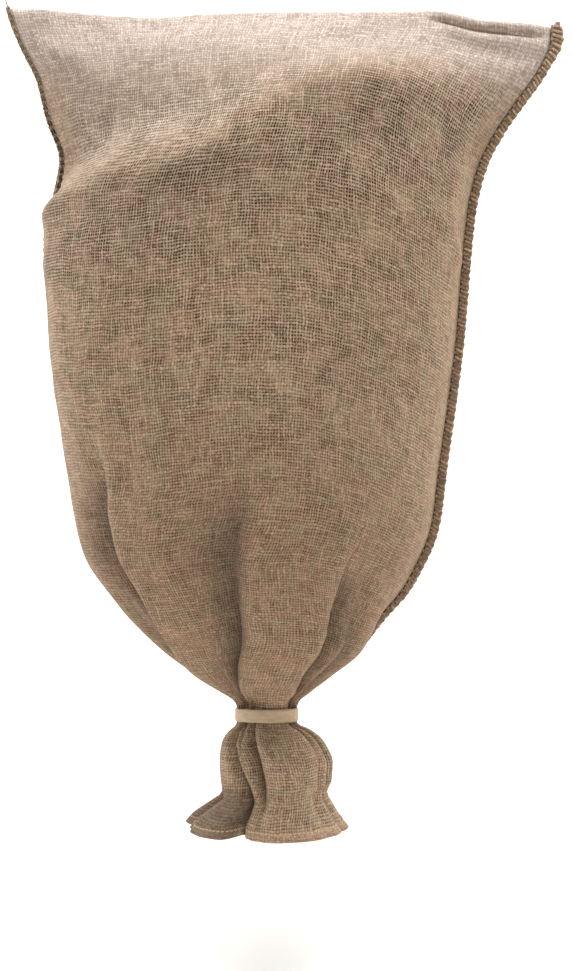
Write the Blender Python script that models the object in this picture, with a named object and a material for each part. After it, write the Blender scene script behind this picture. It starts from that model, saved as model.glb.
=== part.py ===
"""Burlap cover sack, gathered at the neck by a flat band.

One length of cloth is folded across the top, overlocked down both sides and left open at the
bottom. It hangs from the point under its top fold, fills out over the body, is drawn in at the
neck and spreads again as a short skirt.

Metres, +Z up, +X to the right of someone who faces the front, and -Y towards them. The origin
is on the underside of the top fold, at its middle. The tables are in millimetres.
"""

import math
from collections import namedtuple

import bmesh
import bpy
from mathutils import Vector

MM = 0.001

# The cloth, as cut and sewn (mm)
SHEET_WIDTH = 600.0  # each half of the folded cloth, seam to seam
GIRTH = 2 * SHEET_WIDTH
CLOTH_THICKNESS = 1.5
HALF_EDGE = 2.3  # half the thickness of the two halves pressed together at a seam
EDGE_ROUNDING = 4.0  # cloth distance over which a pressed seam rounds to its tip
TIP_THICKNESS = 2.1
HEM_EXTRA = 1.0  # the turned hem is this much thicker than one layer
HEM_WIDTH = 12.0
FADE_OF_TOP_LINE = 70.0  # the waves of the top fold die out over this distance

COLUMNS_GATHERED = 560.0  # the drop by which the skin's columns have moved into its folds

# The seam edgings (mm)
SEAM_GAP = 0.5  # between the cloth's edge and an edging
EDGING_WIDTH = 9.0
EDGING_WIDTH_AT_NECK = 5.5
EDGING_HALF = 1.7
EDGING_HALF_AT_NECK = 0.9
EDGING_TAIL = 6.0  # how far an edging runs past the top fold
LEFT_LEAN = 62.0  # degrees by which the left edging is turned to the back, along the flat ear

# The tie band (mm)
BAND_HEIGHT = 14.8
BAND_THICKNESS = 1.1
BAND_GAP = 0.4  # to the cloth under it, and between its two layers
BAND_LAP = 42.0  # length of the lapped end
BAND_END_ANGLE = -28.0  # degrees, 0 is +X and -90 is the front
BAND_STEPS = 64

# The sack's level sections, from the top fold to the mouth. drop is the way down the cloth, left
# and right the sides, front and back the depths from the middle, z_* the heights, turn_* how far
# a seam is turned, the right one to the front and the left one to the back, full is 0 for two
# flat halves and 1 for a round section, gather is 1 where the section is a tilted ring, and pleat
# is 1 where the folds lie at their places round the neck.
Section = namedtuple(
    "Section",
    "drop left right front back z_left z_right z_front z_back turn_right turn_left full gather pleat",
)
SECTIONS = [
    Section(0, -281, 277, 0, 0, 4, -14, 2, 2, 0, 0, 0.00, 0.0, 0.0),
    Section(12, -278, 277, 9, 8, -7, -27, -4, -4, 0, 0, 0.02, 0.0, 0.0),
    Section(40, -266, 267, 33, 30, -34, -54, -18, -18, 1, 0, 0.08, 0.0, 0.0),
    Section(80, -248, 244, 66, 60, -67, -87, -41, -42, 3, 1, 0.22, 0.0, 0.0),
    Section(120, -238, 222, 96, 86, -105, -119, -69, -72, 5, 3, 0.40, 0.0, 0.0),
    Section(165, -225, 203, 122, 112, -149, -158, -105, -112, 7, 8, 0.58, 0.0, 0.0),
    Section(210, -240, 193, 140, 130, -192, -204, -149, -158, 8, 14, 0.74, 0.0, 0.0),
    Section(270, -257, 188, 151, 142, -250, -264, -208, -220, 9, 19, 0.86, 0.0, 0.0),
    Section(340, -252, 183, 157, 148, -320, -334, -279, -290, 9, 21, 0.92, 0.0, 0.0),
    Section(410, -245, 175, 159, 150, -390, -403, -350, -360, 9, 21, 0.94, 0.0, 0.0),
    Section(480, -235, 166, 157, 148, -458, -472, -420, -430, 9, 20, 0.95, 0.0, 0.0),
    Section(540, -226, 159, 151, 142, -517, -531, -480, -490, 9, 19, 0.96, 0.05, 0.0),
    Section(600, -213, 137, 141, 132, -574, -586, -540, -550, 8, 18, 0.97, 0.15, 0.03),
    Section(655, -181, 110, 124, 116, -624, -630, -590, -600, 3, 16, 0.98, 0.35, 0.09),
    Section(710, -143, 87, 101, 94, -664, -672, -640, -648, -4, 18, 1.00, 0.60, 0.19),
    Section(760, -107, 54, 74, 69, -694, -699, -680, -686, -8, 22, 1.00, 0.85, 0.40),
    Section(800, -69, 30, 45, 43, -717, -718, -709, -716, -11, 26, 1.00, 1.0, 0.80),
    Section(820, -50, 15, 32.5, 32.5, -732, -732, -726, -738, -12, 28, 1.00, 1.0, 1.0),
    Section(843, -50, 15, 32.5, 32.5, -753, -753, -747, -759, -12, 28, 1.00, 1.0, 1.0),
    Section(856, -59, 30, 43, 40, -761, -760, -756, -766, -12, 28, 1.00, 1.0, 1.0),
    Section(875, -68, 45, 54, 50, -775, -774, -769, -778, -12, 28, 1.00, 1.0, 1.0),
    Section(898, -71, 54, 61, 56, -797, -796, -790, -800, -12, 28, 1.00, 1.0, 1.0),
    Section(918, -70, 53, 61, 58, -817, -815, -810, -820, -12, 28, 1.00, 1.0, 1.0),
    Section(933, -68, 48, 60, 62, -831, -828, -825, -833, -12, 28, 1.00, 1.0, 1.0),
    Section(948, -83, 55, 67, 72, -844, -842, -839, -845, -12, 26, 1.00, 1.0, 1.0),
    Section(962, -99, 63, 77, 84, -856, -856, -851, -856, -12, 24, 1.00, 1.0, 1.0),
    Section(975, -107, 71, 85, 94, -866, -867, -861, -865, -12, 22, 1.00, 1.0, 1.0),
]

# The top fold isn't straight: its height at points along it
TopPoint = namedtuple("TopPoint", "x z")
TOP_LINE = [
    TopPoint(-281, 5),
    TopPoint(-256, 5),
    TopPoint(-223, 2),
    TopPoint(-185, -1),
    TopPoint(-134, -4),
    TopPoint(-75, 0),
    TopPoint(18, 2),
    TopPoint(107, 2),
    TopPoint(157, 3),
    TopPoint(205, -6),
    TopPoint(255, -10),
    TopPoint(277, -14),
]

# Folds that run into the gather. across is the fold's place round the girth from the right seam
# over the front, columns how many columns of the skin lie from it to the next, shift moves its
# upper end sideways and drift its lower end, angle is its place round the neck, starts is the
# drop where it begins, width is half its width in cloth distance, floor is a flat bottom on each
# side of its middle, and the last five are its depths at FOLD_STATIONS.
Fold = namedtuple(
    "Fold", "name across columns shift drift angle starts width floor slope collar neck puff hem"
)
FOLDS = [
    Fold("right seam", 0, 6, 0, 0, 12, 620, 13, 17, 9, 27, 13, 24, 14),
    Fold("right side", 95, 5, 10, 0, -14, 560, 17, 0, 12, 18, 11, 20, 9),
    Fold("centre right", 185, 4, 0, 0, -36, 500, 22, 0, 29, 28, 10, 6, 3),
    Fold("centre lower", 246, 1, 0, -30, -118, 790, 15, 0, 0, 0, 7, 19, 5),
    Fold("centre left", 262, 4, 0, 0, -138, 430, 22, 0, 31, 28, 8, 5, 4),
    Fold("left pinch", 330, 4, 0, -88, -152, 660, 18, 0, 3, 8, 3, 11, 26),
    Fold("left front", 408, 5, 34, 0, -168, 400, 24, 0, 29, 23, 9, 14, 8),
    Fold("left side", 505, 6, -8, 0, -188, 600, 17, 0, 10, 18, 12, 20, 10),
    Fold("left seam", 600, 6, 0, 0, -210, 620, 13, 17, 9, 26, 13, 22, 12),
    Fold("back left", 700, 6, 6, 0, -232, 540, 18, 0, 15, 20, 12, 19, 12),
    Fold("back middle left", 800, 6, 0, 0, -254, 590, 27, 0, 12, 17, 11, 24, 15),
    Fold("back middle", 905, 5, -8, 0, -277, 510, 30, 0, 18, 20, 12, 18, 9),
    Fold("back middle right", 1005, 6, 0, 0, -300, 600, 27, 0, 12, 17, 11, 23, 14),
    Fold("back right", 1100, 6, 6, 0, -323, 560, 18, 0, 15, 20, 12, 18, 10),
]
FOLD_STATIONS = {"slope": 700.0, "collar": 770.0, "neck": 832.0, "puff": 898.0, "hem": 975.0}
GATHER_DROP = FOLD_STATIONS["slope"]
MOUTH_DROP = SECTIONS[-1].drop

# Soft forms of the body: across and drop are the middle, wide and tall the reach each way, and
# out is how far the cloth stands out there, or in where it is negative.
Form = namedtuple("Form", "name across drop wide tall out")
FORMS = [
    Form("right shoulder", 190, 104, 120, 42, 19),
    Form("left slope", 455, 128, 105, 55, -22),
    Form("hollow by the left dent", 560, 178, 45, 34, -10),
    Form("roll under the left dent", 530, 236, 75, 34, 11),
    Form("ridge over the front", 330, 186, 125, 30, 11),
    Form("front hollow", 265, 290, 95, 62, -9),
    Form("right belly", 130, 330, 70, 110, 5),
    Form("left belly", 430, 400, 70, 100, 6),
    Form("lower front panel", 240, 600, 38, 90, 6),
    Form("left lower roll", 350, 610, 40, 80, 6),
    Form("back shoulder", 930, 110, 150, 50, 12),
    Form("back hollow", 820, 300, 90, 80, -8),
    Form("back belly", 1000, 420, 90, 110, 7),
]

# How many rows of the skin lie between one drop and the next
RowBand = namedtuple("RowBand", "start end rows")
ROW_BANDS = [
    RowBand(0, 12, 2),
    RowBand(12, 165, 6),
    RowBand(165, 540, 8),
    RowBand(540, 800, 8),
    RowBand(800, 820, 2),
    RowBand(820, 843, 2),
    RowBand(843, 856, 1),
    RowBand(856, 975, 8),
]


def mix(a, b, share):
    return a + (b - a) * share


def smooth(share):
    share = min(max(share, 0.0), 1.0)
    return share * share * (3 - 2 * share)


def read_table(table, key, at):
    """The table's row at a value of its first column, on a smooth curve through its rows."""
    keys = [getattr(row, key) for row in table]
    at = min(max(at, keys[0]), keys[-1])
    i = max(k for k in range(len(keys) - 1) if keys[k] <= at)
    step = keys[i + 1] - keys[i]
    t = (at - keys[i]) / step

    def rise(k, column):
        return (table[k + 1][column] - table[k][column]) / (keys[k + 1] - keys[k])

    def slope(k, column):
        """No steeper than keeps the curve between its rows, so that it never overshoots them."""
        before = rise(max(k - 1, 0), column)
        after = rise(min(k, len(table) - 2), column)
        return 2 * before * after / (before + after) if before * after > 0 else 0.0

    values = []
    for column in range(len(table[0])):
        a, b = table[i][column], table[i + 1][column]
        rise_a, rise_b = slope(i, column) * step, slope(i + 1, column) * step
        values.append(
            a * (1 + 2 * t) * (1 - t) ** 2
            + rise_a * t * (1 - t) ** 2
            + b * t * t * (3 - 2 * t)
            + rise_b * t * t * (t - 1)
        )
    return type(table[0])(*values)


def sheet_share(across):
    """0 at the right seam and 1 at the left one, on the front half and on the back half."""
    share = across / SHEET_WIDTH
    return share if share <= 1 else 2 - share


def girth_distance(a, b):
    apart = abs(a - b) % GIRTH
    return min(apart, GIRTH - apart)


def neck_angle(across):
    """The place round the neck of a point of the girth, between the folds beside it."""
    stops = [(fold.across, fold.angle) for fold in FOLDS]
    stops.append((GIRTH, FOLDS[0].angle - 360))
    for (before, angle_before), (after, angle_after) in zip(stops, stops[1:]):
        if before <= across <= after:
            return mix(angle_before, angle_after, (across - before) / (after - before))


def girth_angle(across, row):
    """Degrees round the section, where 0 is +X and -90 is the front."""
    right, left = -row.turn_right, -180 - row.turn_left
    if across > SHEET_WIDTH:
        right -= 360
    spread = mix(right, left, sheet_share(across))
    return mix(spread, neck_angle(across), row.pleat)


def fold_depth(fold, drop):
    if drop <= fold.starts:
        return 0.0
    stops = [(fold.starts, 0.0)]
    stops += [(at, getattr(fold, n)) for n, at in FOLD_STATIONS.items() if at > fold.starts]
    for (start, a), (end, b) in zip(stops, stops[1:]):
        if drop <= end:
            return mix(a, b, smooth((drop - start) / (end - start)))
    return fold.hem


def fold_inset(across, drop):
    """How far the folds draw the cloth in at a point."""
    inset = 0.0
    for fold in FOLDS:
        depth = fold_depth(fold, drop)
        if depth:
            down = smooth((drop - fold.starts) / (FOLD_STATIONS["collar"] - fold.starts + 1))
            below = smooth((drop - FOLD_STATIONS["neck"]) / (MOUTH_DROP - FOLD_STATIONS["neck"]))
            middle = fold.across + fold.shift * (1 - down) + fold.drift * below
            beside = girth_distance(across, middle) - fold.floor
            inset += depth * math.exp(-((max(beside, 0.0) / fold.width) ** 2))
    return inset


def form_height(across, drop):
    """How far the soft forms of the body raise the cloth at a point."""
    height = 0.0
    for form in FORMS:
        aside = girth_distance(across, form.across) / form.wide
        along = (drop - form.drop) / form.tall
        height += form.out * math.exp(-(aside**2) - along**2)
    return height


def level_height(row, angle):
    """The height of a gathered section at a place round it: a tilted plane, raised front and back."""
    tilt = (row.z_right - row.z_left) * math.cos(angle)
    tilt += (row.z_back - row.z_front) * math.sin(angle)
    sides = row.z_left + row.z_right
    lift = (row.z_front + row.z_back - sides) * math.sin(angle) ** 2
    return (sides + tilt + lift) / 2


def sack_point(across, drop):
    """A point of the outer skin, in millimetres."""
    row = read_table(SECTIONS, "drop", drop)
    front = across <= SHEET_WIDTH
    side = -1 if front else 1
    share = sheet_share(across)
    hump = math.sin(math.pi * share)
    depth, z_middle = (row.front, row.z_front) if front else (row.back, row.z_back)

    from_tip = min(share, 1 - share) * SHEET_WIDTH
    edge = HALF_EDGE * min(from_tip / EDGE_ROUNDING, 1.0) ** 0.5 * min(drop / EDGE_ROUNDING, 1.0)
    flat = Vector((mix(row.right, row.left, share), side * (edge + depth * hump)))

    middle = Vector(((row.left + row.right) / 2, 0.0))
    angle = math.radians(girth_angle(across, row))
    reach = row.front if math.sin(angle) < 0 else row.back
    half = (row.right - row.left) / 2
    rounded = middle + Vector((half * math.cos(angle), reach * math.sin(angle)))

    place = flat.lerp(rounded, row.full)
    z = mix(row.z_right, row.z_left, share)
    z += (z_middle - (row.z_right + row.z_left) / 2) * hump
    z = mix(z, level_height(row, angle), smooth(row.gather))
    waves = read_table(TOP_LINE, "x", place.x).z - read_table(SECTIONS, "drop", 0).z_front
    straight = mix(SECTIONS[0].z_right, SECTIONS[0].z_left, share)
    straight += (SECTIONS[0].z_front * 2 - SECTIONS[0].z_right - SECTIONS[0].z_left) / 2 * hump
    z += (waves - straight + SECTIONS[0].z_front) * (1 - smooth(drop / FADE_OF_TOP_LINE))

    radial = place - middle
    radial = radial.normalized() if radial.length > 0 else Vector((0.0, 0.0))
    outward = Vector((0.0, side, 0.5)).lerp(Vector((radial.x, radial.y, 0.0)), row.full)
    raised = form_height(across, drop) * hump * smooth(drop / FADE_OF_TOP_LINE)
    outward.normalize()
    point = Vector((place.x, place.y, z)) + outward * raised
    inset = fold_inset(across, drop)
    return point - Vector((radial.x, radial.y, 0.0)) * inset


def lobe_columns(fold, end, next_floor):
    """Columns of the gathered skin from one fold up to the next, close beside a seam."""
    start = fold.across
    near = [start, start + EDGE_ROUNDING, start + fold.floor] if fold.floor else [start]
    far = [end - next_floor, end - EDGE_ROUNDING] if next_floor else [end]
    middle = fold.columns - len(near) - len(far) + (0 if next_floor else 1)
    step = (far[0] - near[-1]) / (middle + 1)
    return near + [near[-1] + step * (i + 1) for i in range(middle)] + (far if next_floor else [])


def skin_columns():
    """Each column's place in the girth, as (at the top fold, where the cloth is gathered)."""
    gathered = []
    for fold, after in zip(FOLDS, FOLDS[1:] + FOLDS[:1]):
        gathered += lobe_columns(fold, after.across or GIRTH, after.floor)
    count = len(gathered) // 2
    step = (SHEET_WIDTH - 2 * EDGE_ROUNDING) / (count - 2)
    sheet = [0.0] + [EDGE_ROUNDING + step * i for i in range(count - 1)]
    return list(zip(sheet + [SHEET_WIDTH + c for c in sheet], gathered))


def column_across(column, drop):
    even, gathered = column
    return mix(even, gathered, smooth(drop / COLUMNS_GATHERED))


def skin_drops():
    drops = [0.0]
    for band in ROW_BANDS:
        drops += [mix(band.start, band.end, (i + 1) / band.rows) for i in range(band.rows)]
    return drops


def skin_faces(columns, drops):
    """Grid of one skin, facing out: its top row is one line that the front and back half share."""
    around = len(columns)
    on_line = around // 2 + 1

    def index(row, i):
        if row:
            return on_line + (row - 1) * around + i
        return min(i, around - i)

    faces = []
    seams = (0, around // 2)
    for row in range(len(drops) - 1):
        for i in range(around):
            j = (i + 1) % around
            face = [index(row, i), index(row, j), index(row + 1, j), index(row + 1, i)]
            if row == 0 and i in seams:
                faces += [face[:3], [face[0], *face[2:]]]
            elif row == 0 and j in seams:
                faces += [[face[0], face[1], face[3]], face[1:]]
            else:
                faces.append(face)
    return faces, on_line, index


def make_object(name, points, faces, material):
    """A mesh object from points in millimetres and faces that point outwards."""
    mesh = bpy.data.meshes.new(name)
    mesh.from_pydata([Vector(p) * MM for p in points], [], faces)
    bm = bmesh.new()
    bm.from_mesh(mesh)
    bmesh.ops.recalc_face_normals(bm, faces=bm.faces)
    bmesh.ops.triangulate(bm, faces=bm.faces)
    bm.to_mesh(mesh)
    bm.free()
    mesh.shade_smooth()
    mesh.materials.append(material)
    obj = bpy.data.objects.new(name, mesh)
    bpy.context.scene.collection.objects.link(obj)
    return obj


def skin_normals(points, faces):
    mesh = bpy.data.meshes.new("skin")
    mesh.from_pydata(points, [], faces)
    bm = bmesh.new()
    bm.from_mesh(mesh)
    bm.normal_update()
    normals = [v.normal.copy() for v in bm.verts]
    bm.free()
    bpy.data.meshes.remove(mesh)
    return normals


def make_cloth(material):
    """The folded cloth: an outer and an inner skin, joined round the open mouth."""
    columns, drops = skin_columns(), skin_drops()
    faces, line_length, index = skin_faces(columns, drops)
    line = [sack_point(column_across(c, 0.0), 0.0) for c in columns[:line_length]]
    rows = [[sack_point(column_across(c, d), d) for c in columns] for d in drops[1:]]
    outer = line + [p for row in rows for p in row]

    normals = skin_normals(outer, faces)
    seams = (0, len(columns) // 2)
    inner = []
    for number, (point, normal) in enumerate(zip(outer, normals)):
        row = 0 if number < line_length else (number - line_length) // len(columns) + 1
        column = number if row == 0 else (number - line_length) % len(columns)
        tip = row == 0 or column in seams
        thickness = TIP_THICKNESS if tip and drops[row] < GATHER_DROP else CLOTH_THICKNESS
        to_hem = (MOUTH_DROP - drops[row]) / HEM_WIDTH
        thickness += HEM_EXTRA * (1 - smooth(to_hem))
        inner.append(point - normal * thickness)

    count = len(outer)
    last = len(drops) - 1
    shell = faces + [[count + i for i in reversed(face)] for face in faces]
    for i in range(len(columns)):
        a, b = index(last, i), index(last, (i + 1) % len(columns))
        shell.append([a, b, count + b, count + a])
    return make_object("sack_cloth", outer + inner, shell, material)


def seam_frame(across, drop):
    """A seam's edge point, the way down it, the way out of the cloth, and the section there."""
    step = 9.0
    here = sack_point(across, drop)
    before = sack_point(across, max(drop - step, 0.0))
    after = sack_point(across, min(drop + step, MOUTH_DROP))
    along = (after - before).normalized()
    row = read_table(SECTIONS, "drop", drop)
    angle = math.radians(girth_angle(across, row))
    flat = Vector((1.0 if across == 0 else -1.0, 0.0, 0.0))
    outward = flat.lerp(Vector((math.cos(angle), math.sin(angle), 0.0)), row.full)
    outward -= along * outward.dot(along)
    return here, along, outward.normalized(), row


def make_seam_edging(name, across, lean, material):
    """The overlocked edge that stands out along one side of the sack, turned back by lean."""
    drops = [d for d in skin_drops() if d > 0]
    stations = [(-EDGING_TAIL, 0.45), (0.0, 1.0)] + [(d, 1.0) for d in drops]
    points = []
    for drop, scale in stations:
        here, along, outward, row = seam_frame(across, max(drop, 0.0))
        here = here + along * min(drop, 0.0)
        width = mix(EDGING_WIDTH, EDGING_WIDTH_AT_NECK, row.gather) * scale
        half = mix(EDGING_HALF, EDGING_HALF_AT_NECK, row.gather) * scale
        turn = math.radians(lean * (1 - row.full))
        root = here + outward * (SEAM_GAP + half * math.sin(turn))
        back = Vector((0.0, 1.0, 0.0))
        back -= along * back.dot(along)
        outward = outward * math.cos(turn) + back.normalized() * math.sin(turn)
        across_it = along.cross(outward).normalized()
        section = [(0, -0.7), (0.45, -1.0), (1, -0.6), (1, 0.6), (0.45, 1.0), (0, 0.7)]
        points += [root + outward * width * u + across_it * half * v for u, v in section]
    sides = len(section)
    faces = [list(range(sides)), [len(points) - sides + i for i in reversed(range(sides))]]
    for ring in range(len(stations) - 1):
        for i in range(sides):
            j = (i + 1) % sides
            a, b = ring * sides, (ring + 1) * sides
            faces.append([a + i, b + i, b + j, a + j])
    return make_object(name, points, faces, material)


def make_tie_band(material):
    """A flat strip once round the neck, its end lapped over its start."""
    neck = read_table(SECTIONS, "drop", FOLD_STATIONS["neck"])
    middle_x = (neck.left + neck.right) / 2
    inner = (neck.right - neck.left) / 2 + BAND_GAP
    layer = BAND_THICKNESS + BAND_GAP
    lap = math.degrees(BAND_LAP / (inner + layer))
    middle_z = (neck.z_left + neck.z_right) / 2
    tilt = (neck.z_front - neck.z_back) / (neck.front + neck.back)
    points = []
    for step in range(BAND_STEPS + 1):
        turned = step / BAND_STEPS * (360 + lap)
        angle = math.radians(BAND_END_ANGLE - lap + turned)
        raised = layer * smooth((turned - (360 - lap)) / lap)
        for radius in (inner + raised, inner + raised + BAND_THICKNESS):
            x = middle_x + radius * math.cos(angle)
            y = radius * math.sin(angle)
            for z in (-BAND_HEIGHT / 2, BAND_HEIGHT / 2):
                points.append(Vector((x, y, middle_z - tilt * y + z)))
    faces = [[0, 1, 3, 2], [4 * BAND_STEPS + i for i in (2, 3, 1, 0)]]
    ring = (0, 2, 3, 1)
    for step in range(BAND_STEPS):
        a, b = 4 * step, 4 * (step + 1)
        for i, j in zip(ring, ring[1:] + ring[:1]):
            faces.append([a + i, b + i, b + j, a + j])
    return make_object("tie_band", points, faces, material)


def make_material(name, colour, roughness):
    material = bpy.data.materials.new(name)
    material.use_nodes = True
    shader = material.node_tree.nodes["Principled BSDF"]
    shader.inputs["Base Color"].default_value = (*colour, 1.0)
    shader.inputs["Roughness"].default_value = roughness
    shader.inputs["Metallic"].default_value = 0.0
    return material


def main():
    for obj in list(bpy.data.objects):
        bpy.data.objects.remove(obj)
    burlap = make_material("burlap", (0.36, 0.26, 0.18), 0.95)
    yarn = make_material("seam_yarn", (0.24, 0.16, 0.10), 0.95)
    tape = make_material("tie_tape", (0.44, 0.34, 0.23), 0.8)
    make_cloth(burlap)
    make_seam_edging("seam_edging_right", 0.0, 0.0, yarn)
    make_seam_edging("seam_edging_left", SHEET_WIDTH, LEFT_LEAN, yarn)
    make_tie_band(tape)


main()
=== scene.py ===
# %% [markdown]
# # A burlap cover sack, gathered at the neck
#
# One length of loose jute cloth is folded across the top, overlocked down both sides and left
# open at the bottom. A flat band draws it in, and below the band it spreads as a short skirt.
# This notebook dresses the plain CAD solids: the cloth gets its folds and its weave, the sides
# get their overlocking, and the band gets its woven ribs. Lengths in the tables are millimetres,
# as a sewer would measure them, and the finished meshes are in metres.

# %% Load the frame
import math
import random
from collections import namedtuple

import bpy
import numpy as np
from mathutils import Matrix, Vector, noise


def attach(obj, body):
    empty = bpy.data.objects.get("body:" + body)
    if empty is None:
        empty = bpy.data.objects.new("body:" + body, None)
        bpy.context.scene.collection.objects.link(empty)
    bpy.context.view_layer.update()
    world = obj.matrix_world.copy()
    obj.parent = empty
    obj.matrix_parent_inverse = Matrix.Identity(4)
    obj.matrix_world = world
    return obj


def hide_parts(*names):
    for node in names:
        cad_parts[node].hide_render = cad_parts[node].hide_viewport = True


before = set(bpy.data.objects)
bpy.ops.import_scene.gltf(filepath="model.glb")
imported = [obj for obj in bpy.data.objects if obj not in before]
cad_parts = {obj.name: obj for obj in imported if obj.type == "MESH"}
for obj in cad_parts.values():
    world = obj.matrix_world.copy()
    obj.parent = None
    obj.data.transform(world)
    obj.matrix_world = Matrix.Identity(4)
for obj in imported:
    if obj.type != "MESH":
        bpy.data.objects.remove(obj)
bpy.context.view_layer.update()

MM = 0.001

# %% [markdown]
# ## The camera
#
# The sack is seen from a little above, from far enough away that its sides stay nearly parallel.
# A long lens at over three metres does that. The aim is half way down the sack.

# %% Camera
CAMERA_DISTANCE = 3.2
CAMERA_PITCH = math.radians(10.1)
CAMERA_AIM = Vector((0.0032, 0.0, -0.4936))
CAMERA_LENS = 112.0


def add_object(name, data):
    """Puts an object into the scene."""
    made = bpy.data.objects.new(name, data)
    bpy.context.scene.collection.objects.link(made)
    return made


camera_data = bpy.data.cameras.new("camera")
camera_data.lens = CAMERA_LENS
camera_data.sensor_width = 36.0
camera = add_object("camera", camera_data)
towards_camera = Vector((0.0, -math.cos(CAMERA_PITCH), math.sin(CAMERA_PITCH)))
camera.location = CAMERA_AIM + towards_camera * CAMERA_DISTANCE
camera.rotation_euler = (math.pi / 2 - CAMERA_PITCH, 0.0, 0.0)
bpy.context.scene.camera = camera
print("camera at", [round(value, 3) for value in camera.location])

# %% [markdown]
# ## Colours and nodes
#
# A colour is given as an sRGB hex value, and a shader works with linear light, so one
# function turns the first into the second. Nodes could be added and wired by hand in the shader
# editor. A function that takes the kind of node, what goes into its sockets and its settings does
# the same in one line, and the recipe can be read from top to bottom.

# %% Helpers for materials
def linear(hex_colour):
    """The linear colour of an sRGB hex value such as #8F7A62."""
    values = [int(hex_colour[i : i + 2], 16) / 255 for i in (1, 3, 5)]
    light = [v / 12.92 if v <= 0.04045 else ((v + 0.055) / 1.055) ** 2.4 for v in values]
    return (*light, 1.0)


def plug(tree, value, socket):
    """Fills a socket from a value, from another socket or from a node's first output."""
    if isinstance(value, bpy.types.Node):
        value = value.outputs[0]
    if isinstance(value, bpy.types.NodeSocket):
        tree.links.new(value, socket)
    elif value is not None:
        socket.default_value = value


def add_node(tree, kind, *inputs, **settings):
    """Adds a node and fills its sockets in their order; None leaves one as it is."""
    made = tree.nodes.new("ShaderNode" + kind)
    for name, value in settings.items():
        setattr(made, name, value)
    open_sockets = [socket for socket in made.inputs if socket.enabled]
    for socket, value in zip(open_sockets, inputs):
        plug(tree, value, socket)
    return made


def new_paint(name):
    """A material with its node tree and its shader."""
    paint = bpy.data.materials.new(name)
    paint.use_nodes = True
    return paint, paint.node_tree, paint.node_tree.nodes["Principled BSDF"]


# %% [markdown]
# ## Room and light
#
# The sack is lit as in a studio: a white room that fills the shadows, a wide soft light above and
# in front that whitens the slope under the top fold, a weak one at the front, and two that light
# the wall behind. The floor and that wall could be two planes. They are one pale sweep here, as
# photographers use it, so no corner shows.

# %% Room
FLOOR_HEIGHT = -1.03
SWEEP_WIDTH, SWEEP_FRONT, SWEEP_BACK, SWEEP_TOP = 9.0, -5.0, 2.2, 4.0
SWEEP_BEND = 1.0
SWEEP_STEPS = 16


def paint_studio_white():
    """Matt wall paint, which gives the eye an even pale ground without a gleam."""
    paint, tree, shader = new_paint("white_studio_paint")
    shader.inputs["Base Color"].default_value = linear("#F6F5F3")
    shader.inputs["Roughness"].default_value = 0.9
    # From behind, the sweep is clear, so that the sack can be looked at from every side.
    seen = add_node(tree, "NewGeometry")
    clear = add_node(tree, "BsdfTransparent")
    either = add_node(tree, "MixShader", seen.outputs["Backfacing"], shader, clear)
    plug(tree, either, tree.nodes["Material Output"].inputs["Surface"])
    return paint


def make_sweep():
    """The floor, which bends up into the wall behind."""
    profile = [(SWEEP_FRONT, FLOOR_HEIGHT)]
    for step in range(SWEEP_STEPS + 1):
        turn = math.pi / 2 * step / SWEEP_STEPS
        y = SWEEP_BACK - SWEEP_BEND + SWEEP_BEND * math.sin(turn)
        profile.append((y, FLOOR_HEIGHT + SWEEP_BEND - SWEEP_BEND * math.cos(turn)))
    profile.append((SWEEP_BACK, SWEEP_TOP))
    half = SWEEP_WIDTH / 2
    points = [(x, y, z) for y, z in profile for x in (-half, half)]
    faces = [(2 * i, 2 * i + 1, 2 * i + 3, 2 * i + 2) for i in range(len(profile) - 1)]
    mesh = bpy.data.meshes.new("pale_sweep")
    mesh.from_pydata(points, [], faces)
    mesh.shade_smooth()
    mesh.materials.append(paint_studio_white())
    return add_object("pale_sweep", mesh)


sweep = make_sweep()
print("sweep, metres wide:", SWEEP_WIDTH)

# %% Light
def make_table(columns, *rows):
    """A table whose rows can be read by the columns' names."""
    Row = namedtuple("Row", columns)
    return [Row(*row) for row in rows]


ROOM_LIGHT = 0.42
LAMPS = make_table(
    "name place aim wide tall watts",
    ("light_above", (-0.1, -0.65, 2.2), (0.0, 0.0, -0.3), 2.4, 1.1, 76.0),
    ("light_front", (0.1, -3.4, 0.8), (0.0, 0.0, -0.5), 1.4, 1.8, 10.0),
    ("light_wall_left", (-2.4, 0.9, 0.4), (-0.6, 2.2, -0.2), 1.0, 2.6, 60.0),
    ("light_wall_right", (2.4, 0.9, 0.4), (0.6, 2.2, -0.2), 1.0, 2.6, 60.0),
)


def make_light():
    """The white room and the soft lamps."""
    scene = bpy.context.scene
    scene.world = bpy.data.worlds.new("white_room")
    scene.world.use_nodes = True
    sky = scene.world.node_tree.nodes["Background"]
    sky.inputs["Color"].default_value = (1.0, 0.99, 0.97, 1.0)
    sky.inputs["Strength"].default_value = ROOM_LIGHT
    for lamp in LAMPS:
        data = bpy.data.lights.new(lamp.name, "AREA")
        data.shape = "RECTANGLE"
        data.size, data.size_y, data.energy = lamp.wide, lamp.tall, lamp.watts
        light = add_object(lamp.name, data)
        light.visible_camera = False
        light.location = lamp.place
        away = Vector(lamp.place) - Vector(lamp.aim)
        light.rotation_mode = "QUATERNION"
        light.rotation_quaternion = away.to_track_quat("Z", "Y")
    scene.view_settings.view_transform = "Standard"
    print("lamps:", ", ".join(lamp.name for lamp in LAMPS))


make_light()

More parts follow.
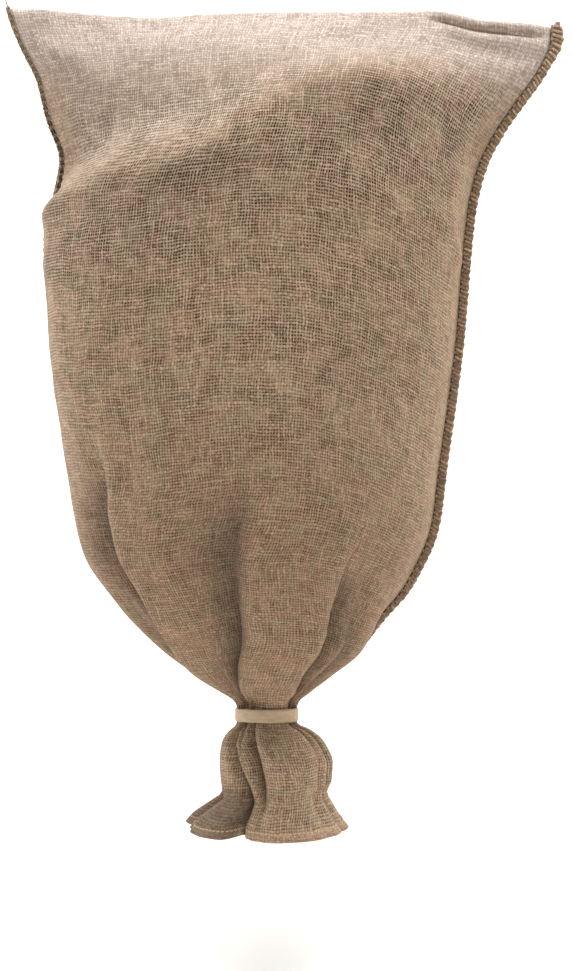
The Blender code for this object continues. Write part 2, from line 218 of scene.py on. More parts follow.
# %% [markdown]
# ## The shape of the sack
#
# A sack is sewn flat and takes its form from what fills it. The CAD solid was drawn from level
# sections, one row a section, and the same rows are repeated here, a few of them moved by up to
# four millimetres. They could be sculpted by hand, but a table can be measured against a picture
# and mended row by row. `drop` is the way down the cloth from the top fold, so a row follows one
# thread of the weft round the sack. It says how wide and deep the sack is there, and how high that
# thread lies at the sides, in front and behind. `turn_right` turns the right seam by so many
# degrees towards the front, and `turn_left` the left seam towards the back. `full` is 0 where the
# two halves lie flat and 1 where they are round, `gather` draws the sides in, and `pleat` hands the
# places round the neck over to the folds.

# %% Sections of the sack
SHEET_WIDTH = 600.0
GIRTH = 2 * SHEET_WIDTH
HALF_EDGE = 2.3  # half the thickness of the flat sack beside a seam
EDGE_ROUNDING = 4.0
FADE_OF_TOP_LINE = 70.0  # down to this drop the cloth follows the uneven top fold

SECTIONS = make_table(
    "drop left right front back z_left z_right z_front z_back turn_right turn_left full gather pleat",
    (0, -281, 277, 0, 0, 4, -14, 2, 2, 0, 0, 0.00, 0.0, 0.0),
    (12, -278, 277, 9, 8, -7, -27, -4, -4, 0, 0, 0.02, 0.0, 0.0),
    (40, -267, 267, 33, 30, -34, -54, -18, -18, 1, 0, 0.08, 0.0, 0.0),
    (80, -251, 244, 66, 60, -67, -87, -41, -42, 3, 1, 0.22, 0.0, 0.0),
    (120, -242, 222, 96, 86, -105, -119, -69, -72, 5, 3, 0.40, 0.0, 0.0),
    (165, -229, 203, 122, 112, -149, -158, -105, -112, 7, 8, 0.58, 0.0, 0.0),
    (210, -240, 193, 140, 130, -192, -204, -149, -158, 8, 14, 0.74, 0.0, 0.0),
    (270, -257, 188, 151, 142, -250, -264, -208, -220, 9, 19, 0.86, 0.0, 0.0),
    (340, -252, 183, 157, 148, -320, -334, -279, -290, 9, 21, 0.92, 0.0, 0.0),
    (410, -245, 175, 159, 150, -390, -403, -350, -360, 9, 21, 0.94, 0.0, 0.0),
    (480, -235, 166, 157, 148, -458, -472, -420, -430, 9, 20, 0.95, 0.0, 0.0),
    (540, -226, 159, 151, 142, -517, -531, -480, -490, 9, 19, 0.96, 0.05, 0.0),
    (600, -213, 137, 141, 132, -574, -586, -540, -550, 8, 18, 0.97, 0.15, 0.03),
    (655, -181, 110, 124, 116, -624, -630, -590, -600, 3, 16, 0.98, 0.35, 0.09),
    (710, -143, 87, 101, 94, -664, -672, -640, -648, -4, 18, 1.00, 0.60, 0.19),
    (760, -107, 54, 74, 69, -694, -699, -680, -686, -8, 22, 1.00, 0.85, 0.4),
    (800, -69, 30, 45, 43, -717, -718, -709, -716, -11, 26, 1.00, 1.0, 0.8),
    (820, -50, 15, 32.5, 32.5, -732, -732, -726, -738, -12, 28, 1.00, 1.0, 1.0),
    (843, -50, 15, 32.5, 32.5, -753, -753, -747, -759, -12, 28, 1.00, 1.0, 1.0),
    (856, -59, 30, 43, 40, -761, -760, -756, -766, -12, 28, 1.00, 1.0, 0.96),
    (875, -68, 45, 54, 50, -775, -774, -769, -778, -12, 28, 1.00, 1.0, 0.86),
    (898, -71, 54, 61, 56, -797, -796, -790, -800, -12, 28, 1.00, 1.0, 0.72),
    (918, -70, 53, 61, 58, -817, -815, -810, -820, -12, 28, 1.00, 1.0, 0.6),
    (933, -68, 48, 60, 62, -831, -828, -825, -833, -12, 28, 1.00, 1.0, 0.54),
    (948, -83, 55, 67, 72, -844, -842, -839, -845, -12, 26, 1.00, 1.0, 0.5),
    (962, -99, 63, 77, 84, -856, -856, -851, -856, -12, 24, 1.00, 1.0, 0.5),
    (975, -107, 71, 85, 94, -866, -867, -861, -865, -12, 22, 1.00, 1.0, 0.5),
)
MOUTH_DROP = SECTIONS[-1].drop
TOP_LINE = make_table(
    "x z",
    (-281, 5), (-256, 5), (-223, 2), (-185, -1), (-134, -4), (-75, 0),
    (18, 2), (107, 2), (157, 3), (205, -6), (255, -10), (277, -14),
)
print("sections:", len(SECTIONS), "and the mouth, mm down the cloth:", MOUTH_DROP)

# %% Read a table along a smooth curve
def mix(a, b, share):
    return a + (b - a) * share


def smooth(share):
    share = np.clip(share, 0.0, 1.0)
    return share * share * (3 - 2 * share)


def ramp(values, start, end):
    """0 before the start, 1 past the end, and eased between them."""
    return smooth((values - start) / (end - start))


def read_table(table, at):
    """The table's columns at values of its first column, on curves that never overshoot its rows."""
    rows = np.array(table, float)
    keys = rows[:, 0]
    at = np.clip(np.asarray(at, float), keys[0], keys[-1])
    rise = np.diff(rows, axis=0) / np.diff(keys)[:, None]
    before, after = np.vstack([rise[:1], rise]), np.vstack([rise, rise[-1:]])
    level = before * after <= 0
    slope = np.where(level, 0.0, 2 * before * after / np.where(level, 1.0, before + after))
    i = np.clip(np.searchsorted(keys, at, side="right") - 1, 0, len(keys) - 2)
    step = (keys[i + 1] - keys[i])[..., None]
    t = (at[..., None] - keys[i][..., None]) / step
    values = rows[i] * (1 + 2 * t) * (1 - t) ** 2 + rows[i + 1] * t * t * (3 - 2 * t)
    values = values + slope[i] * step * t * (1 - t) ** 2 + slope[i + 1] * step * t * t * (t - 1)
    return {name: values[..., k] for k, name in enumerate(table[0]._fields)}


print("neck, mm across:", read_table(SECTIONS, [832.0])["front"] * 2)

# %% [markdown]
# ## The folds
#
# Burlap is stiff, so it gathers in a few deep folds rather than in many fine ones. A cloth
# simulation could find such folds, but not these very ones in these places, so each is placed one
# by one. Each row of the next table is one valley. `across` is its place round the girth: 0 is the
# right seam, the front runs to 600 at the left seam, and the back runs on to 1200. `shift` moves
# its upper end and `drift` its lower end, `angle` is its place round the neck, and it `starts` at a
# drop. `right_wall` and `left_wall` say how wide each side of the valley is, because a pleat falls
# over on one side only, and `lean` pushes that side over the valley's bottom. `floor` keeps the
# bottom flat, so that a seam can lie in it. The last columns are depths down the sack.

# %% Folds into the gather
FOLDS = make_table(
    "name across shift drift angle starts right_wall left_wall lean floor slope collar neck puff hem",
    ("right seam", 0, 0, 0, 12, 620, 13, 13, 0, 17, 9, 27, 13, 15, 9),
    ("right side", 95, 10, 0, -14, 560, 15, 20, 2, 0, 12, 18, 11, 7, 4),
    ("centre right", 168, -30, 0, -31, 560, 36, 10, 8, 0, 30, 30, 10, 6, 3),
    ("centre lower", 246, 0, 0, -118, 790, 9, 20, -4, 0, 0, 0, 8, 22, 6),
    ("centre left", 280, -24, 0, -141, 430, 13, 46, -5, 0, 26, 29, 10, 5, 4),
    ("left pinch", 330, 0, -58, -153, 660, 12, 20, -3, 0, 3, 8, 5, 13, 26),
    ("left front", 448, -30, 0, -175, 445, 10, 40, -13, 0, 43, 33, 11, 14, 8),
    ("left side", 505, -8, 0, -188, 600, 17, 17, 0, 0, 10, 18, 12, 20, 10),
    ("left seam", 600, 0, 0, -210, 620, 13, 13, 0, 17, 9, 26, 13, 22, 12),
    ("back left", 700, 6, 0, -232, 540, 18, 18, 0, 0, 15, 20, 12, 19, 12),
    ("back middle left", 800, 0, 0, -254, 590, 27, 27, 0, 0, 12, 17, 11, 24, 15),
    ("back middle", 905, -8, 0, -277, 510, 30, 30, 0, 0, 18, 20, 12, 18, 9),
    ("back middle right", 1005, 0, 0, -300, 600, 27, 27, 0, 0, 12, 17, 11, 23, 14),
    ("back right", 1100, 6, 0, -323, 560, 18, 18, 0, 0, 15, 20, 12, 18, 10),
)
FOLD_SHARPNESS = 1.6  # 2 rounds a valley's bottom, and 1 creases it
FULL_DEPTH = 20.0  # from this depth on, a fold leans and shades in full
STEEPEST, STEEP_REACH = 0.7, 0.6  # where its wall is pushed over, in widths of the wall
SHADE_OF_LEAN = 0.05  # how much further the shade reaches for each millimetre of lean
FOLD_STATIONS = {"slope": 700.0, "collar": 770.0, "neck": 832.0, "puff": 898.0, "hem": 975.0}


def girth_offset(across, place):
    """The signed way round the girth from a place, positive towards the left."""
    return (across - place + GIRTH / 2) % GIRTH - GIRTH / 2


def fold_depth(fold, drops):
    """The fold's depth at each drop, eased from station to station."""
    depth = np.zeros_like(drops)
    stops = [(fold.starts, 0.0)]
    stops += [(at, getattr(fold, n)) for n, at in FOLD_STATIONS.items() if at > fold.starts]
    for (start, a), (end, b) in zip(stops, stops[1:]):
        here = (drops >= start) & (drops <= end)
        depth[here] = mix(a, b, ramp(drops[here], start, end))
    return depth


def fold_place(fold, drops):
    """Where the fold's valley lies round the girth at each drop."""
    neck = FOLD_STATIONS["neck"]
    down = ramp(drops, fold.starts, FOLD_STATIONS["collar"] + 1)
    below = ramp(drops, neck, MOUTH_DROP)
    return fold.across + fold.shift * (1 - down) + fold.drift * below


def draw_folds(across, drops):
    """How far the folds draw each point in and push it round the sack, and their painted shade."""
    inward = np.zeros(across.shape)
    round_it = np.zeros(across.shape)
    tucked = np.zeros(across.shape)
    for fold in FOLDS:
        depth = fold_depth(fold, drops)
        beside = girth_offset(across, fold_place(fold, drops))
        wall = np.where(beside > 0, fold.left_wall, fold.right_wall)
        away = np.maximum(np.abs(beside) - fold.floor, 0.0) / wall
        valley = np.exp(-(away**FOLD_SHARPNESS))
        inward += depth * valley
        leaning = (fold.lean > 0) == (beside > 0)
        # The wall that a pleat falls over lies in its shade.
        shaded = away / np.where(leaning, 1.0, 1 + SHADE_OF_LEAN * abs(fold.lean))
        shade = np.exp(-(shaded**FOLD_SHARPNESS))
        tucked = np.maximum(tucked, shade * smooth(depth / FULL_DEPTH))
        steep = np.exp(-(((away - STEEPEST) / STEEP_REACH) ** 2)) * leaning
        round_it += -fold.lean * steep * np.minimum(depth / FULL_DEPTH, 1.0)
    return inward, round_it, tucked


print("folds:", len(FOLDS))

# %% [markdown]
# ## Swells, hollows and creases
#
# What the sack hangs on pushes the cloth out here and lets it fall in there. Those soft forms
# are wide bumps on the cloth. Creases are narrow: the rolled lip beside the right corner, the
# drag lines that run from the ears, and the soft breaks where the cloth turns over a shoulder.
# Each could be a stroke of a sculpting brush. Here it is a line on the flat cloth from one point
# to another, with a height and a width, so it can be moved later.

# %% Swells and hollows
FORMS = make_table(
    "name across drop wide tall out",
    ("right shoulder", 190, 104, 120, 42, 19),
    ("left slope", 455, 128, 105, 55, -22),
    ("hollow by the left dent", 560, 178, 45, 34, -10),
    ("roll under the left dent", 530, 236, 75, 34, 11),
    ("ridge over the front", 330, 186, 125, 36, 9),
    ("front hollow", 265, 290, 95, 62, -9),
    ("right belly", 130, 330, 70, 110, 5),
    ("left belly", 430, 400, 70, 100, 6),
    ("lower front panel", 240, 600, 38, 90, 6),
    ("left lower roll", 350, 610, 40, 80, 6),
    ("back shoulder", 930, 110, 150, 50, 12),
    ("back hollow", 820, 300, 90, 80, -8),
    ("back belly", 1000, 420, 90, 110, 7),
)

CREASES = make_table(
    "name across drop to_across to_drop width out",
    ("rolled lip", 128, 3.5, 16, 3.5, 3.5, 3.0),
    ("groove under the rolled lip", 132, 10, 12, 9, 4.5, -8.5),
    ("ledge below the groove", 130, 21, 14, 20, 6, 3.0),
    ("hollow below the ledge", 120, 36, 10, 36, 10, -3.0),
    ("right ear drag, upper", 20, 60, 110, 120, 16, 3.0),
    ("right ear drag, lower", 12, 110, 70, 210, 14, -3.0),
    ("left ear drag, upper", 575, 40, 470, 110, 16, 3.0),
    ("left ear drag, middle", 560, 70, 500, 160, 13, -3.5),
    ("break to the dent", 590, 172, 470, 186, 14, -4.0),
    ("roll below the dent", 570, 238, 405, 212, 13, 4.5),
    ("hollow under the roll", 570, 268, 400, 250, 18, -3.5),
    ("shoulder break", 380, 150, 200, 92, 22, 2.5),
    ("slack below the shoulder", 300, 210, 120, 170, 20, -2.0),
    ("long slack, middle", 300, 300, 262, 540, 26, -4.0),
    ("tuck at the right seam", 84, 222, 4, 263, 5, 3.5),
    ("long slack, right", 160, 380, 200, 560, 20, -2.5),
    ("left hanging fold", 470, 420, 420, 620, 20, 3.0),
    ("lip of the left pleat", 404, 460, 422, 740, 9, 3.0),
    ("lip of the panel, left", 250, 520, 240, 760, 9, 1.0),
    ("lip of the panel, right", 172, 600, 190, 760, 9, 1.2),
    ("back break, left", 640, 180, 800, 130, 20, 3.0),
    ("back break, right", 1170, 160, 1040, 120, 20, 3.0),
    ("back slack, left", 760, 280, 830, 520, 24, -3.0),
    ("back slack, right", 1060, 260, 980, 500, 24, -3.0),
)

CREASE_FADE = 0.15  # a crease rises over this share of its length to either side of each end

# The line where the slope under the top fold turns over into the body, on the front and the back.
SHOULDER_LINE = make_table(
    "across drop",
    (0, 84), (78, 82), (166, 92), (238, 120), (300, 152), (326, 180), (350, 200), (394, 205),
    (442, 211), (490, 220), (600, 226), (720, 190), (860, 140), (1050, 120), (1200, 84),
)
SHOULDER_RISE, SHOULDER_ABOVE, SHOULDER_BELOW = 6.0, 32.0, 36.0
SHOULDER_HOLLOW, HOLLOW_ABOVE, HOLLOW_REACH = -7.0, 62.0, 34.0


def below_shoulder(across, drops):
    """How far below the shoulder line each point is, in mm of cloth."""
    return drops - read_table(SHOULDER_LINE, across)["drop"]


def raise_shoulder(across, drops):
    """The rounded edge along the shoulder line, and the hollow of the slope above it."""
    below = below_shoulder(across, drops)
    reach = np.where(below < 0, SHOULDER_ABOVE, SHOULDER_BELOW)
    edge = SHOULDER_RISE * np.exp(-((below / reach) ** 2))
    hollow = SHOULDER_HOLLOW * np.exp(-(((below + HOLLOW_ABOVE) / HOLLOW_REACH) ** 2))
    return edge + hollow


def raise_forms(across, drops):
    """How far the soft forms raise the cloth at each point."""
    height = raise_shoulder(across, drops)
    for form in FORMS:
        aside = girth_offset(across, form.across) / form.wide
        along = (drops - form.drop) / form.tall
        height = height + form.out * np.exp(-(aside**2) - along**2)
    return height


def press_creases(across, drops):
    """How far the creases raise or lower the cloth at each point."""
    height = np.zeros(across.shape)
    for crease in CREASES:
        run = np.array([crease.to_across - crease.across, crease.to_drop - crease.drop], float)
        length = np.linalg.norm(run)
        run /= length
        aside = girth_offset(across, crease.across)
        down = drops - crease.drop
        along = (aside * run[0] + down * run[1]) / length
        off = aside * run[1] - down * run[0]
        ends = ramp(along, -CREASE_FADE, CREASE_FADE)
        ends = ends * ramp(1.0 - along, -CREASE_FADE, CREASE_FADE)
        height += crease.out * np.exp(-((off / crease.width) ** 2)) * ends
    return height


print("forms:", len(FORMS), "creases:", len(CREASES))


# %% [markdown]
# ## The uneven hand of the cloth
#
# Jute cloth is never flat. Its threads differ in thickness, and it keeps the dents of the bale,
# so the surface wavers by a millimetre or two. Close to the band, the cloth that no fold took up
# stands in small sharp ripples. Both could be a displace modifier. They are added as heights in
# code instead, because the seams and the band have to follow the same surface.

# %% Wavering and ripples
WAVER = [(95.0, 2.6), (42.0, 1.3), (19.0, 0.5)]  # size of the dents, and their height, in mm
RIPPLE_REACH, RIPPLE_HEIGHT = 26.0, 1.3
RIPPLES_ROUND, RIPPLE_TWIST = 41, 0.09
HALF_BAND = 9.0  # the band and a little more, where nothing ripples


def waver(across, drops):
    """Small uneven dents, the same at both ends of the girth so that no step shows there."""
    height = np.zeros(across.shape)
    turn = across / GIRTH * 2 * math.pi
    radius = GIRTH / (2 * math.pi)
    for size, tall in WAVER:
        xs, ys = radius * np.cos(turn) / size, radius * np.sin(turn) / size
        zs = np.broadcast_to(drops / size, across.shape)
        dents = [noise.noise(at) for at in zip(xs.flat, ys.flat, zs.flat)]
        height += tall * np.array(dents).reshape(across.shape)
    return height


def ripple(angles, drops):
    """The small ripples above and below the band."""
    from_band = np.abs(drops - FOLD_STATIONS["neck"]) - HALF_BAND
    fade = np.exp(-((from_band / RIPPLE_REACH) ** 2)) * (from_band > 0)
    turns = np.radians(angles) * RIPPLES_ROUND + drops * RIPPLE_TWIST
    return RIPPLE_HEIGHT * fade * np.sin(turns)


print("the cloth wavers by up to, mm:", round(sum(tall for _, tall in WAVER), 1))


# %% [markdown]
# ## From the tables to a surface
#
# At the top the two halves lie flat on each other, and lower down they open into a round
# section, so each point is a mix of a flat place and a round place. The forms and folds then
# move it out or in.

# %% The outer face of the cloth
WAVER_FROM_SEAM, CREASES_FROM_SEAM = 45.0, 12.0  # mm over which they grow to full height
WAVER_FROM_TOP, CREASES_FROM_TOP = 30.0, 6.0
CALMED_BY_GATHER = 0.75  # the share of both that the pull of the band takes away
FLAT_LIFT = 0.5  # how far up, for each step out, a form rises where the sack is flat
LEAST_RADIUS = 20.0


def neck_angles(across):
    """Degrees round the neck of each place on the girth, shared out between the folds."""
    stops = [fold.across for fold in FOLDS] + [GIRTH]
    angles = [fold.angle for fold in FOLDS] + [FOLDS[0].angle - 360]
    return np.interp(across, stops, angles)


def sack_surface(across, down):
    """Points of the outer face in mm; across is one row a drop, and down is a column of drops."""
    rows = read_table(SECTIONS, down)
    front = across <= SHEET_WIDTH
    side = np.where(front, -1.0, 1.0)
    share = across / SHEET_WIDTH
    share = np.where(front, share, 2 - share)
    hump = np.sin(math.pi * share)
    depth = np.where(front, rows["front"], rows["back"])
    z_middle = np.where(front, rows["z_front"], rows["z_back"])

    from_tip = np.minimum(share, 1 - share) * SHEET_WIDTH
    edge = HALF_EDGE * np.minimum(from_tip / EDGE_ROUNDING, 1.0) ** 0.5
    edge = edge * np.minimum(down / EDGE_ROUNDING, 1.0)
    flat_x = mix(rows["right"], rows["left"], share)
    flat_y = side * (edge + depth * hump)

    turned = np.where(front, 0.0, -360.0)
    spread = mix(turned - rows["turn_right"], -180.0 - rows["turn_left"], share)
    angles = mix(spread, neck_angles(across), rows["pleat"])
    inward, round_it, _ = draw_folds(across, down)
    middle_x = (rows["left"] + rows["right"]) / 2
    half = (rows["right"] - rows["left"]) / 2
    angles = angles - np.degrees(round_it / np.maximum(half, LEAST_RADIUS)) * rows["full"]
    turn = np.radians(angles)
    reach = np.where(np.sin(turn) < 0, rows["front"], rows["back"])
    x = mix(flat_x, middle_x + half * np.cos(turn), rows["full"])
    y = mix(flat_y, reach * np.sin(turn), rows["full"])

    sides = rows["z_left"] + rows["z_right"]
    z = mix(rows["z_right"], rows["z_left"], share) + (z_middle - sides / 2) * hump
    tilt = (rows["z_right"] - rows["z_left"]) * np.cos(turn)
    tilt = tilt + (rows["z_back"] - rows["z_front"]) * np.sin(turn)
    lift = (rows["z_front"] + rows["z_back"] - sides) * np.sin(turn) ** 2
    z = mix(z, (sides + tilt + lift) / 2, smooth(rows["gather"]))
    top = SECTIONS[0]
    straight = mix(top.z_right, top.z_left, share)
    straight = straight + (2 * top.z_front - top.z_right - top.z_left) / 2 * hump
    z = z + (read_table(TOP_LINE, x)["z"] - straight) * (1 - smooth(down / FADE_OF_TOP_LINE))

    size = np.maximum(np.hypot(x - middle_x, y), 1e-9)
    radial_x, radial_y = (x - middle_x) / size, y / size
    out_x = mix(0.0, radial_x, rows["full"])
    out_y = mix(side, radial_y, rows["full"])
    out_z = mix(FLAT_LIFT, 0.0, rows["full"])
    long = np.sqrt(out_x**2 + out_y**2 + out_z**2)
    raised = raise_forms(across, down) * hump * smooth(down / FADE_OF_TOP_LINE)
    creases = press_creases(across, down) * smooth(from_tip / CREASES_FROM_SEAM)
    wavers = waver(across, down) * smooth(from_tip / WAVER_FROM_SEAM)
    small = creases * smooth(down / CREASES_FROM_TOP) + wavers * smooth(down / WAVER_FROM_TOP)
    raised = raised + small * (1 - CALMED_BY_GATHER * smooth(rows["gather"]))
    inward = inward - ripple(angles, down)
    x = x + out_x / long * raised - radial_x * inward
    y = y + out_y / long * raised - radial_y * inward
    z = z + out_z / long * raised
    return np.stack([x, y, z], axis=-1), angles


# %% [markdown]
# ## Where each thread runs
#
# The weave is painted by a material that counts threads, so every point needs its place on the
# flat cloth. Blender's own unwrapping could give one, but it knows nothing of threads. Down the
# sack the place is the drop. Round the sack it is measured along the surface itself, from the
# crest of each fold, so the threads keep their spacing and the spare cloth vanishes in the
# valleys, as it does in a real gather.

# %% Places on the flat cloth
THREADS_STAY_EVEN = 520.0  # down to here the whole width is on show
THREADS_GATHERED = 700.0


def thread_places(points, across, drops):
    """For each point, its place across the cloth in mm, measured along the surface."""
    step = np.linalg.norm(np.diff(points, axis=1), axis=2)
    close = np.linalg.norm(points[:, :1] - points[:, -1:], axis=2)
    run = np.concatenate([np.zeros((len(drops), 1)), np.cumsum(step, axis=1)], axis=1)
    whole = run[:, -1:] + close
    left = across.shape[1] // 2
    front = np.arange(across.shape[1]) <= left
    half = run[:, left : left + 1]
    even_front = run / half * SHEET_WIDTH
    even_back = SHEET_WIDTH + (run - half) / (whole - half) * SHEET_WIDTH
    even = np.where(front, even_front, even_back)
    valleys = [fold for fold in FOLDS if fold.collar > 0]
    gathered = even.copy()
    for row, drop in enumerate(drops):
        places = [float(fold_place(fold, drop)) for fold in valleys] + [GIRTH]
        for start, end in zip(places, places[1:]):
            inside = np.flatnonzero((across[row] >= start) & (across[row] < end))
            crest = np.interp((start + end) / 2, across[row], run[row])
            from_crest = run[row, inside] - crest
            room = (end - start) / 2
            for sign in (1, -1):
                part = from_crest * sign > 0
                reach = np.max(from_crest * sign, initial=room)
                from_crest[part] *= room / reach
            gathered[row, inside] = (start + end) / 2 + from_crest
    share = ramp(drops, THREADS_STAY_EVEN, THREADS_GATHERED)
    return mix(even, gathered, share[:, None])


# Loose jute is pulled out of square when a flat sack is filled: the weft hangs in arches, lowest
# at the right seam, and the warp slants where the slope under the top fold turns over.
WEFT_SAGS = make_table(
    "across low",
    (0, 36), (64, 27), (133, 12), (170, 4), (213, 0), (267, 3), (325, 12), (373, 18),
    (430, 19), (485, 17), (600, 14), (750, 8), (900, 4), (1050, 14), (1200, 36),
)
WARP_SLANTS = make_table(
    "drop aside",
    (0, 0), (50, 13), (80, 19), (120, 22), (165, 13), (200, 3), (240, -6),
    (270, -11), (340, -17), (420, -19), (560, -15), (700, 0), (975, 0),
)
SAG_STARTS, SAG_GROWS = 90.0, 150.0
SAG_FADES, SAG_GONE = 520.0, 900.0
SLANT_REACH = 190.0  # from a seam, where the warp still runs straight


def draw_weave(threads, across, drops):
    """The places on the flat cloth once the weave is pulled out of square: across, and down."""
    down = drops[:, None]
    starts = SAG_STARTS * smooth(np.minimum(across, GIRTH - across) / 400.0)
    sag = read_table(WEFT_SAGS, across)["low"] * smooth((down - starts) / SAG_GROWS)
    sag = sag * (1 - ramp(down, SAG_FADES, SAG_GONE))
    from_seam = np.abs(girth_offset(across, 0.0))
    from_seam = np.minimum(from_seam, SHEET_WIDTH - from_seam)
    slant = read_table(WARP_SLANTS, down)["aside"] * smooth(from_seam / SLANT_REACH)
    slant = np.where(across > SHEET_WIDTH, -slant, slant)
    return threads - slant, down - sag


print("weft sags by up to", max(row.low for row in WEFT_SAGS), "mm")

# %% [markdown]
# ## The cloth as a mesh
#
# The cloth is a grid about five millimetres fine. The top row is one line that the front and the
# back share, because the cloth is folded there and not sewn. A solidify modifier could give it
# its thickness. Here a second face lies one cloth's thickness inside, so that it can be thinner
# in the gather and thicker in the hem, which is turned up twice round the open mouth.

# %% Make the grid
COLUMNS = 280
ROWS = 172
FINE_ROWS, FINE_DOWN_TO = 18, 45.0  # the rolled lip under the top fold needs narrow rows
COLUMNS_STAY_EVEN, COLUMNS_CLUSTERED = 20.0, 330.0
FOLD_CLUSTER, CLUSTER_REACH = 2.4, 24.0
CLOTH_THICKNESS = 1.3
GATHERED_THICKNESS = 0.8
GATHER_STARTS, GATHER_FULL = 650.0, 770.0
HEM_WIDTH, HEM_STEP = 11.0, 2.5
HEM_EXTRA, HEM_PROUD = 1.3, 0.5


def column_places(drops):
    """Each column's place on the girth: even at the top fold, and closer in the folds below."""
    fine = np.linspace(0.0, GIRTH, 2401)
    crowd = np.ones_like(fine)
    for fold in FOLDS:
        middle = float(fold_place(fold, 640.0))
        crowd += FOLD_CLUSTER * np.exp(-((girth_offset(fine, middle) / CLUSTER_REACH) ** 2))
    share = np.arange(COLUMNS // 2) / (COLUMNS // 2)
    clustered = []
    for start in (0.0, SHEET_WIDTH):
        inside = (fine >= start) & (fine <= start + SHEET_WIDTH)
        total = np.concatenate([[0.0], np.cumsum(crowd[inside])[:-1]])
        clustered.append(np.interp(share, total / total[-1], fine[inside]))
    clustered = np.concatenate(clustered)
    even = np.arange(COLUMNS) / COLUMNS * GIRTH
    way = ramp(drops, COLUMNS_STAY_EVEN, COLUMNS_CLUSTERED)
    return mix(even[None, :], clustered[None, :], way[:, None])


def row_drops():
    """The drop of each row: close together under the top fold, and even below."""
    fine = np.linspace(0.0, FINE_DOWN_TO, FINE_ROWS + 1)
    return np.concatenate([fine, np.linspace(FINE_DOWN_TO, MOUTH_DROP, ROWS - FINE_ROWS + 1)[1:]])


def grid_index(row, column):
    """The number of a point, where the front and the back share the points of the top row."""
    on_line = COLUMNS // 2 + 1
    if row:
        return on_line + (row - 1) * COLUMNS + column % COLUMNS
    column = column % COLUMNS
    return min(column, COLUMNS - column)


print("rows and columns of the cloth:", ROWS, COLUMNS)


# %% Marks and a mesh from the grid
WING_STARTS, WING_ACROSS = 276.0, 16.0  # the left wing of the skirt, in the shade of the puff
WING_DROP, WING_DOWN, WING_SHADE = 908.0, 24.0, 0.95
SLOPE_ENDS = (-50.0, 24.0)  # mm below the shoulder line, where the slope gives way to the body
STRETCH_STARTS, STRETCH_ENDS = (-12.0, 12.0), (50.0, 160.0)
GROOVE_SHADES = (4.0, 11.5)  # mm deep; a shallower crease needs no painted shade
SHADE_LIGHTENS = (840.0, 880.0)  # below the band the folds open to the light
LIGHTER_BY = 0.25


def mark_places(across, down):
    """Where the cloth lies on the slope or is stretched, and where shade is painted on it."""
    below = below_shoulder(across, down)
    groove = ramp(-press_creases(across, down), *GROOVE_SHADES)
    fold_shade = draw_folds(across, down)[2]
    fold_shade = fold_shade * (1 - LIGHTER_BY * ramp(down, *SHADE_LIGHTENS))
    wing = smooth((across - WING_STARTS) / WING_ACROSS) * smooth((down - WING_DROP) / WING_DOWN)
    wing = WING_SHADE * wing * (across < SHEET_WIDTH)
    return {
        "on_slope": 1 - ramp(below, *SLOPE_ENDS),
        "stretched": ramp(below, *STRETCH_STARTS) * (1 - ramp(below, *STRETCH_ENDS)),
        "tucked": np.maximum(np.maximum(fold_shade, groove), wing),
    }


def vertex_normals(points, faces):
    """Smooth normals of a grid of quads."""
    corners = points[faces]
    flat = np.cross(corners[:, 2] - corners[:, 0], corners[:, 3] - corners[:, 1])
    normals = np.zeros_like(points)
    for k in range(4):
        np.add.at(normals, faces[:, k], flat)
    return normals / np.maximum(np.linalg.norm(normals, axis=1, keepdims=True), 1e-12)


